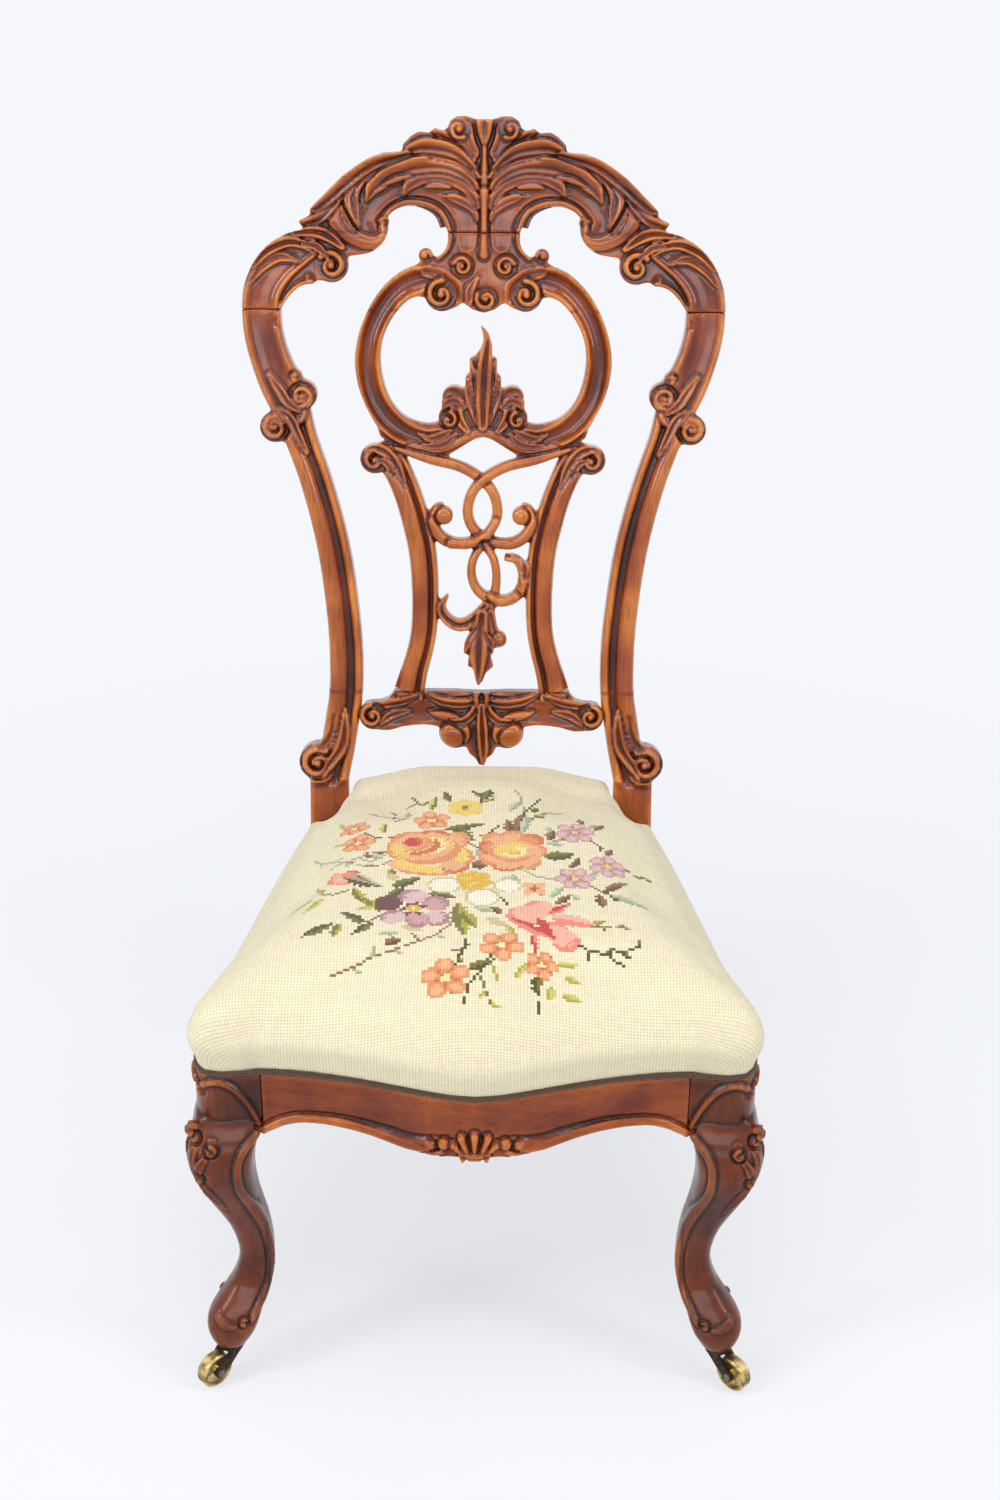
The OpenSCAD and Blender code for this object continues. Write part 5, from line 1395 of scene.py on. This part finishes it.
# %% Paint the leaves and stems
stem("green_grey", (30, 350), (37, 335), (38, 318), (40, 308))
stem("brown", (75, 322), (62, 312), (48, 295), (42, 285))
stem("olive_dark", (56, 340), (47, 318), (36, 298), (33, 285))
stem("olive", (-62, 345), (-57, 330), (-52, 320))
stem("olive_dark", (-7, 345), (2, 330), (0, 320))
stem("brown", (-102, 322), (-91, 309), (-78, 300), (-62, 303))
stem("brown", (-82, 327), (-76, 311), (-77, 298))
stem("brown_dark", (-76, 289), (-66, 297), (-62, 304))
stem("olive_dark", (-101, 270), (-92, 261), (-84, 258), (-73, 259))
stem("olive_dark", (17, 279), (10, 268), (0, 260))
stem("olive_dark", (-16, 262), (-10, 250), (-2, 242))
sprig("green_grey", "pale_green", "blue_green", 9, (-146, 246), (-138, 236), (-126, 227), (-112, 218),
      (-96, 211))
stem("brown", (-98, 210), (-80, 213), (-75, 218))
sprig("green_grey", "lilac_light", "brown", 9, (-128, 216), (-112, 222), (-98, 228), (-88, 232))
stem("green_grey", (-104, 226), (-90, 218), (-80, 228))
stem("olive", (-132, 170), (-120, 166), (-108, 173))
stem("olive_dark", (-120, 121), (-98, 121), (-84, 128), (-76, 136))
stem("brown", (-98, 128), (-86, 124))
sprig("brown", "pale_green", "green_grey", 9, (-116, 66), (-100, 73), (-84, 83), (-66, 88), (-48, 95),
      (-34, 105), (-22, 120))
stem("brown", (-52, 108), (-46, 97))
stem("olive_dark", (-8, 99), (-11, 84), (-16, 68))
sprig("olive_dark", "lime", "olive", 8, (-6, 92), (-12, 84), (-14, 76))
stem("brown_dark", (10, 174), (18, 162), (26, 149))
stem("green_grey", (30, 196), (36, 182), (40, 170))
stem("green_grey", (36, 208), (46, 196), (58, 191), (68, 190))
stem("brown_dark", (92, 184), (104, 172), (118, 166))
stem("brown", (66, 268), (74, 258), (60, 252))
sprig("olive_dark", "brown", "olive_dark", 9, (98, 256), (106, 250))
sprig("brown", "blue_green", "brown_dark", 10, (112, 218), (124, 223), (136, 216), (144, 222))
sprig("olive_dark", "olive", "olive_dark", 9, (78, 98), (90, 90), (104, 87), (118, 89), (130, 95))
stem("olive_dark", (106, 86), (118, 76))
sprig("olive", "lime", "olive", 9, (92, 124), (102, 120), (112, 118), (118, 120))
stem("olive_dark", (12, 79), (4, 62), (-6, 49), (-9, 30))
stem("lime", (12, 70), (17, 54))
stem("olive_dark", (51, 58), (48, 40), (50, 26))
sprig("olive", "lime_light", "lime", 9, (4, 56), (8, 42), (12, 30))

leaf_rows = [
    ("lime_light", "olive", (-56, 328, -68, 325, 6), (-54, 320, -44, 328, 6), (-43, 308, -40, 334, 8),
     (2, 325, 15, 333, 6), (48, 300, 62, 303, 9), (-84, 268, -85, 286, 8), (46, 204, 38, 216, 7)),
    ("olive", "olive_dark", (-26, 325, -32, 344, 7), (4, 330, 10, 350, 10), (2, 333, -4, 345, 6),
     (46, 306, 54, 318, 8), (-30, 272, 4, 282, 11), (-20, 276, -4, 252, 13), (56, 226, 82, 233, 15),
     (-70, 177, -47, 192, 12), (-74, 160, -62, 176, 10), (-40, 166, -18, 161, 11), (-92, 124, -112, 139, 9),
     (-116, 122, -143, 104, 9), (-84, 124, -101, 106, 8), (-8, 62, 14, 74, 8), (50, 62, 47, 44, 9)),
    ("lime", "olive", (-104, 176, -90, 150, 9), (-92, 160, -80, 140, 8), (-110, 122, -117, 102, 8),
     (-16, 152, -10, 103, 15), (-12, 140, 0, 116, 10), (90, 120, 104, 128, 8), (-70, 194, -76, 206, 7)),
    ("lime_light", "lime", (-131, 172, -140, 192, 7), (-140, 168, -156, 157, 7), (-128, 162, -144, 142, 8),
     (-80, 148, -99, 143, 7), (-122, 290, -126, 303, 6), (-118, 256, -131, 258, 5), (66, 75, 82, 76, 6),
     (70, 64, 84, 58, 8), (40, 72, 30, 56, 6), (60, 52, 58, 38, 7), (68, 46, 84, 40, 7),
     (30, 108, 22, 122, 6)),
    ("brown", "brown_dark", (32, 266, 39, 304, 13), (26, 268, 25, 290, 9), (-6, 214, 8, 212, 15),
     (61, 256, 64, 274, 9), (91, 288, 90, 304, 8), (102, 280, 111, 295, 8), (78, 210, 87, 229, 7),
     (104, 172, 129, 196, 8), (108, 168, 124, 158, 7), (100, 168, 104, 148, 9), (64, 151, 77, 167, 8),
     (110, 234, 116, 248, 8), (-74, 95, -60, 100, 9), (12, 147, 20, 136, 8), (-96, 227, -78, 236, 7)),
    ("pale_green", "blue_green", (38, 268, 43, 302, 9), (26, 308, 35, 326, 8), (-66, 296, -66, 316, 7),
     (58, 252, 74, 248, 8), (60, 268, 60, 282, 6), (96, 280, 104, 294, 6), (112, 168, 148, 153, 10),
     (60, 162, 72, 181, 7), (76, 168, 85, 159, 6), (-2, 146, 14, 141, 9), (-92, 232, -80, 222, 9),
     (-78, 108, -62, 108, 7), (20, 190, 32, 194, 7), (0, 240, 2, 222, 7), (104, 206, 92, 196, 6)),
    ("beige", "beige", (-74, 198, -68, 186, 9), (8, 130, 24, 118, 10), (-60, 118, -44, 112, 9)),
]
for light_wool, dark_wool, *some in leaf_rows:
    for numbers in some:
        leaf_shape(*numbers, light_wool, dark_wool)
print("stitches in leaves and stems:", int((picture > 0).sum()))

# %% [markdown]
# ## Flowers
# Small flowers are round petals about a heart. The roses, the lily, the pansy and the bud
# are lists of petals, where each petal lies over those before it, so a rose is painted
# from its outer petals in.

# %% Paint the flowers
for x, y, r, start in [(-42, 289, 17, 100), (-111, 284, 14, 60), (-105, 252, 16, 80), (20, 92, 19, 60),
                       (52, 72, 14, 70), (-24, 56, 20, 95)]:
    flower(x, y, r, "orange_light", "orange", "orange_deep", "pale_yellow", 5, start)
flower(-13, 313, 16, "yellow", "yellow", "gold", "brown", 6, 30)
flower(47, 175, 12, "orange_light", "orange_light", "orange_deep", "red", 4, 45)
flower(-4, 187, 16, "gold", "gold", "yellow", "gold", 7, 90)
for x, y, r, start in [(84, 271, 18, 75), (111, 216, 18, 85), (81, 193, 17, 65)]:
    flower(x, y, r, "lilac_light", "lilac", "mauve", "yellow", 6, start)
for x, y, r in [(-28, 180, 14), (4, 161, 15), (25, 180, 12)]:
    claim(oval(x, y, r, r * 0.95) < 1, "beige")
    claim(oval(x, y - 0.5, r * 0.84, r * 0.78) < 1, "white")

big_rose = [
    (-45, 203, 24, 8, -8, "yellow", "orange", 270),
    (-20, 210, 12, 12, 60, "orange_light", "orange_deep", 300), (-13, 228, 9, 14, 20, "yellow", "orange", 0),
    (-20, 252, 11, 17, -15, "orange_light", "orange", 30),
    (-62, 215, 14, 12, 40, "yellow", "orange_light", 230), (-70, 238, 9, 17, 10, "yellow", "orange", 180),
    (-62, 258, 15, 10, 25, "orange_light", "orange", 120),
    (-38, 262, 14, 10, -10, "orange_light", "orange_deep", 80),
    (-42, 236, 27, 23, 20, "yellow", "orange", 300),
    (-45, 239, 22, 18, 20, "pale_yellow", "orange_light", 290),
    (-50, 243, 18, 14, 30, "yellow", "orange_deep", 320),
    (-53, 247, 14, 11, 30, "orange_light", "orange", 340), (-56, 250, 9, 8, 0, "red", "orange_deep", 0),
]
small_rose = [
    (12, 257, 11, 10, 30, "orange_light", "orange", 130), (29, 262, 12, 9, 0, "orange_light", "orange", 90),
    (45, 254, 11, 12, 0, "orange", "orange_deep", 40), (50, 236, 9, 11, 0, "orange_light", "orange", 0),
    (42, 217, 11, 11, 0, "orange_light", "orange", 310),
    (24, 211, 13, 9, 0, "orange_light", "orange_deep", 270),
    (9, 224, 9, 13, 20, "orange_light", "orange", 210), (7, 242, 8, 11, 0, "orange", "orange_deep", 180),
    (29, 236, 20, 18, 0, "orange_light", "orange", 250),
    (29, 236, 16, 14, 10, "yellow", "orange_light", 300),
    (30, 236, 12, 10, 20, "pale_yellow", "yellow", 120), (30, 235, 6, 5, 0, "yellow", "gold", 300),
]
lily = [
    (71, 101, 12, 14, 20, "coral_light", "coral", 300), (48, 142, 17, 13, 50, "coral_light", "coral", 200),
    (38, 134, 14, 15, 20, "coral_light", "coral", 230), (62, 116, 11, 10, 0, "coral_light", "coral", 90),
]
pansy = [
    (-73, 152, 12, 11, 30, "plum", "brown_dark", 200), (-53, 162, 12, 11, 0, "lilac_light", "mauve", 150),
    (-34, 151, 11, 12, 0, "lilac", "mauve", 60), (-68, 132, 12, 10, 20, "lilac_light", "mauve", 120),
    (-33, 130, 11, 11, 0, "lilac_light", "mauve", 330), (-48, 128, 12, 10, 90, "lilac", "mauve", 260),
]
bud = [
    (-121, 194, 8, 10, 0, "orange_light", "orange", 180),
    (-112, 190, 11, 9, 20, "coral_light", "coral", 300), (-108, 200, 8, 5, 10, "coral", "orange_deep", 60),
]
for blossom in (big_rose, small_rose, lily, pansy, bud):
    for numbers in blossom:
        petal(*numbers)
for angle in (20, 75, 130, 185, 240, 300):
    reach = 11 * math.cos(math.radians(angle)), 11 * math.sin(math.radians(angle))
    leaf_shape(-52, 144, -52 + reach[0], 144 + reach[1], 5, "plum", "plum")
claim(oval(-52, 144, 5.5, 5.5) < 1, "gold")
claim(oval(-52, 144, 2.5, 2.5) < 1, "pale_yellow")
leaf_shape(60, 133, 97, 121, 17, "coral_light", "coral")
leaf_shape(58, 136, 76, 153, 8, "red", "coral")
leaf_shape(26, 131, 64, 100, 11, "red", "coral")
leaf_shape(48, 132, 62, 104, 8, "red", "red")
leaf_shape(46, 108, 48, 82, 6, "coral", "red")
leaf_shape(-113, 194, -80, 178, 14, "blue_green", "brown_dark")
leaf_shape(-102, 198, -86, 184, 7, "pale_green", "brown")
print("stitches in the bouquet:", int((picture > 0).sum()), "of", len(picture))

# %% [markdown]
# ## Needlepoint wool
# The colours are stored on the faces and the stitch pattern comes from the canvas's own
# coordinates, which count stitches, so both follow the cloth down every side. A cross
# stitch is two strands over the holes of the canvas: one from corner to corner, then one
# over it the other way. Wool differs a little from stitch to stitch and, as dye lots
# change, from row to row. Each stitch is also darkened towards the holes at its corners,
# as painted shade.

# %% Wool material
def cross_stitched(name):
    """Two strands of wool across each stitch that the UV map stitches counts."""
    made, tree, shader = new_material(name, Roughness=0.95, Specular_IOR_Level=0.15, Sheen_Weight=0.25,
                                      Sheen_Roughness=0.6)
    wool = add(tree, "Attribute", attribute_name="wool", out="Color")
    count = add(tree, "UVMap", uv_map="stitches")
    parts = add(tree, "SeparateXYZ", count).node.outputs
    x, y = [add(tree, "Math", parts[k], operation="FRACT") for k in (0, 1)]
    both = add(tree, "Math", x, y, operation="ADD")
    pairs = ((x, y), (both, 1.0), (x, 0.5), (y, 0.5))
    off = [add(tree, "Math", *pair, operation="SUBTRACT") for pair in pairs]
    square = [add(tree, "Math", line, line, operation="MULTIPLY") for line in off]
    upper, lower = [add(tree, "Math", 1.0, square[k], operation="SUBTRACT") for k in (0, 1)]
    lower = add(tree, "Math", lower, 0.85, operation="MULTIPLY")
    height = add(tree, "Math", upper, lower, operation="MAXIMUM")
    corner = add(tree, "Math", square[2], square[3], operation="ADD")
    hole_depth_and_shade = add(tree, "MapRange", corner, from_min=0.2, from_max=0.46, to_min=1.0, to_max=0.5)
    cell = add(tree, "VectorMath", count, operation="FLOOR")
    odd = add(tree, "TexWhiteNoise", cell, out="Value")
    rows_only = add(tree, "Mapping", cell, scale=(0.02, 0.45, 1))
    lots = add(tree, "TexNoise", rows_only, scale=1.0, detail=3.0)
    wobble = add(tree, "TexNoise", count, scale=0.7, detail=2.0)
    single = add(tree, "Math", odd, 0.09, 0.88, operation="MULTIPLY_ADD")
    tone = add(tree, "Math", lots, 0.14, single, operation="MULTIPLY_ADD")
    # Painted shade: the colour darkens towards the holes of the canvas between the stitches.
    tone = add(tree, "Math", tone, hole_depth_and_shade, operation="MULTIPLY")
    drift = add(tree, "Math", wobble, 0.08, 0.96, operation="MULTIPLY_ADD")
    wear_and_shading = add(tree, "Math", tone, drift, operation="MULTIPLY")
    colour = add(tree, "VectorMath", wool, operation="SCALE", scale=wear_and_shading)
    hair = add(tree, "TexNoise", count, scale=7.0, detail=3.0)
    raised = add(tree, "Math", height, hole_depth_and_shade, operation="MULTIPLY")
    lift = add(tree, "Math", hair, 0.35, raised, operation="MULTIPLY_ADD")
    surface(tree, shader, colour, lift, 0.8, 0.9)
    return made


needlepoint = cross_stitched("needlepoint_wool")
print("wool ready:", needlepoint.name)

# %% [markdown]
# ## Fitting the cover
# The canvas now gets its places. The cloth is eased for a few rounds, with its tacked rim
# held, and it rises with the stuffing under it. Stitches past the rim were turned under
# and cut off, so they go.

# %% Pull the cover on
ease_rounds = 14
cover_thickness = 1.6
near_points, rise_run = 4, 30
post_clear, clear_run = 6, 25


def carried(points, free):
    """How far the swelling under each point moves it, fading out towards the rim and the posts."""
    tree = KDTree(len(pad_drawn))
    for k, place in enumerate(pad_drawn):
        tree.insert(place, k)
    tree.balance()
    move = np.zeros_like(points)
    for k in np.flatnonzero(free):
        found = tree.find_n(points[k], near_points)
        weight = np.array([1 / (f[2] + 1) for f in found])
        move[k] = (pad_change[[f[1] for f in found]] * weight[:, None]).sum(0) / weight.sum()
    rise = np.clip((points[:, 2] - tacked_height) / rise_run, 0, 1)
    clear = np.clip((post_front - post_clear - points[:, 1]) / clear_run, 0, 1)
    return move * (rise * clear)[:, None]


def cover():
    mesh = canvas.data
    ends = edge_ends(mesh)
    points, spare = canvas_places[:, :3], canvas_places[:, 3]
    free = np.clip(-spare / 4, 0, 1)
    points = relaxed(points, ends, ease_rounds, 0.5, free)
    loose = free > 0
    points = points + relaxed(carried(points, loose), ends, 6, 0.5, loose.astype(float))
    put(mesh, points * mm + (0, seat_front, 0))
    corners = canvas_flat[face_corners] / stitch + (columns / 2, rows_front)
    mesh.uv_layers.new(name="stitches").data.foreach_set("uv", corners.astype(np.float32).ravel())
    dyed = np.array([linear(wools[name]) for name in wool_names])[picture]
    shades = mesh.color_attributes.new("wool", "FLOAT_COLOR", "CORNER")
    shades.data.foreach_set("color", np.repeat(dyed, 4, axis=0).astype(np.float32).ravel())
    past = (spare[face_corners] > 0).all(1)
    bm = bmesh.new()
    bm.from_mesh(mesh)
    bm.faces.ensure_lookup_table()
    bmesh.ops.delete(bm, geom=[bm.faces[k] for k in np.flatnonzero(past).tolist()], context="FACES")
    bmesh.ops.dissolve_degenerate(bm, dist=0.05 * mm, edges=bm.edges)
    bm.to_mesh(mesh)
    bm.free()
    settled(canvas, "SOLIDIFY", thickness=cover_thickness * mm, offset=-1.0)
    dress(canvas, "seat_cover", needlepoint)


cover()
settled(pad, "SUBSURF", levels=1, render_levels=1)
dress(pad, "seat_stuffing", curled_hair(), from_seat)

# %% [markdown]
# ## The gimp
# A dark brown braid covers the tacks along the cover's lower edge. It runs over the rails
# from one back post to the other. Its line is found by looking in at the frame's gimp from
# all round, and two strands are twisted along that line over the frame's flat tape.

# %% Braid the gimp
braid_pitch, braid_radius = 7.0, 1.15
braid_out, braid_rise = 0.45, 0.95
first_angle, last_angle, angle_step = 75, -255.1, 0.4
route_step, least_radius = 1.2, 100


def gimp_route(step):
    """Places, and directions outwards, along the middle of the gimp's outer face."""
    bm = board("seat_gimp", to_seat)
    tape = BVHTree.FromBMesh(bm)
    low, high = (min(v.co.z for v in bm.verts), max(v.co.z for v in bm.verts))
    bm.free()
    centre = Vector((0, seat_middle_y, (low + high) / 2))
    found = []
    for angle in np.radians(np.arange(first_angle, last_angle, -angle_step)):
        way = Vector((math.cos(angle), math.sin(angle), 0))
        hit = tape.ray_cast(centre + way * outside, -way)[0]
        if hit and (hit - centre).dot(way) > least_radius:
            found.append(hit)
    line = np.array(found)
    run = np.concatenate([[0], np.cumsum(np.linalg.norm(line[1:] - line[:-1], axis=1))])
    at = np.arange(0, run[-1], step)
    line = np.stack([np.interp(at, run, line[:, axis]) for axis in range(3)], 1)
    ahead = np.gradient(line, axis=0)
    out = np.stack([-ahead[:, 1], ahead[:, 0], np.zeros(len(ahead))], 1)
    out /= np.linalg.norm(out, axis=1)[:, None]
    return at, line, out


def strand(points, radius):
    """The mesh of a thread that runs through the points."""
    data = bpy.data.curves.new("strand", "CURVE")
    data.dimensions = "3D"
    data.bevel_depth = radius
    data.bevel_resolution = 1
    data.use_fill_caps = True
    spline = data.splines.new("POLY")
    spline.points.add(len(points) - 1)
    spline.points.foreach_set("co", np.concatenate([points, np.ones((len(points), 1))], 1).ravel())
    made = bpy.data.objects.new("strand", data)
    bpy.context.scene.collection.objects.link(made)
    mesh = bpy.data.meshes.new_from_object(made.evaluated_get(bpy.context.evaluated_depsgraph_get()))
    bpy.data.objects.remove(made)
    bpy.data.curves.remove(data)
    return mesh


def braided_thread(name, base, dark):
    made, tree, shader = new_material(name, Roughness=0.7, Sheen_Weight=0.3)
    place = add(tree, "TexCoord", out="Object")
    fray = add(tree, "TexNoise", place, scale=1 / (0.8 * mm), detail=4.0)
    colour = add(tree, "ValToRGB", fray, stops=[(0.35, dark), (0.65, base)])
    surface(tree, shader, colour, fray, 0.3, 0.7)
    return made


def braid():
    at, line, out = gimp_route(route_step)
    if out[:, 0] @ line[:, 0] < 0:
        out = -out
    bm = board("seat_gimp", to_seat)
    for phase in (0, math.pi):
        turn = 2 * math.pi * at / braid_pitch + phase
        points = line + out * (braid_out * np.cos(turn))[:, None]
        points[:, 2] += braid_rise * np.sin(turn)
        mesh = strand(points, braid_radius)
        bm.from_mesh(mesh)
        bpy.data.meshes.remove(mesh)
    item = mesh_object("braided_gimp", bm)
    thread = braided_thread("brown_silk_gimp", "#5b3c1e", "#2a190b")
    dress(item, "seat_gimp", thread, from_seat)
    print("gimp", round(at[-1]), "mm long")


braid()
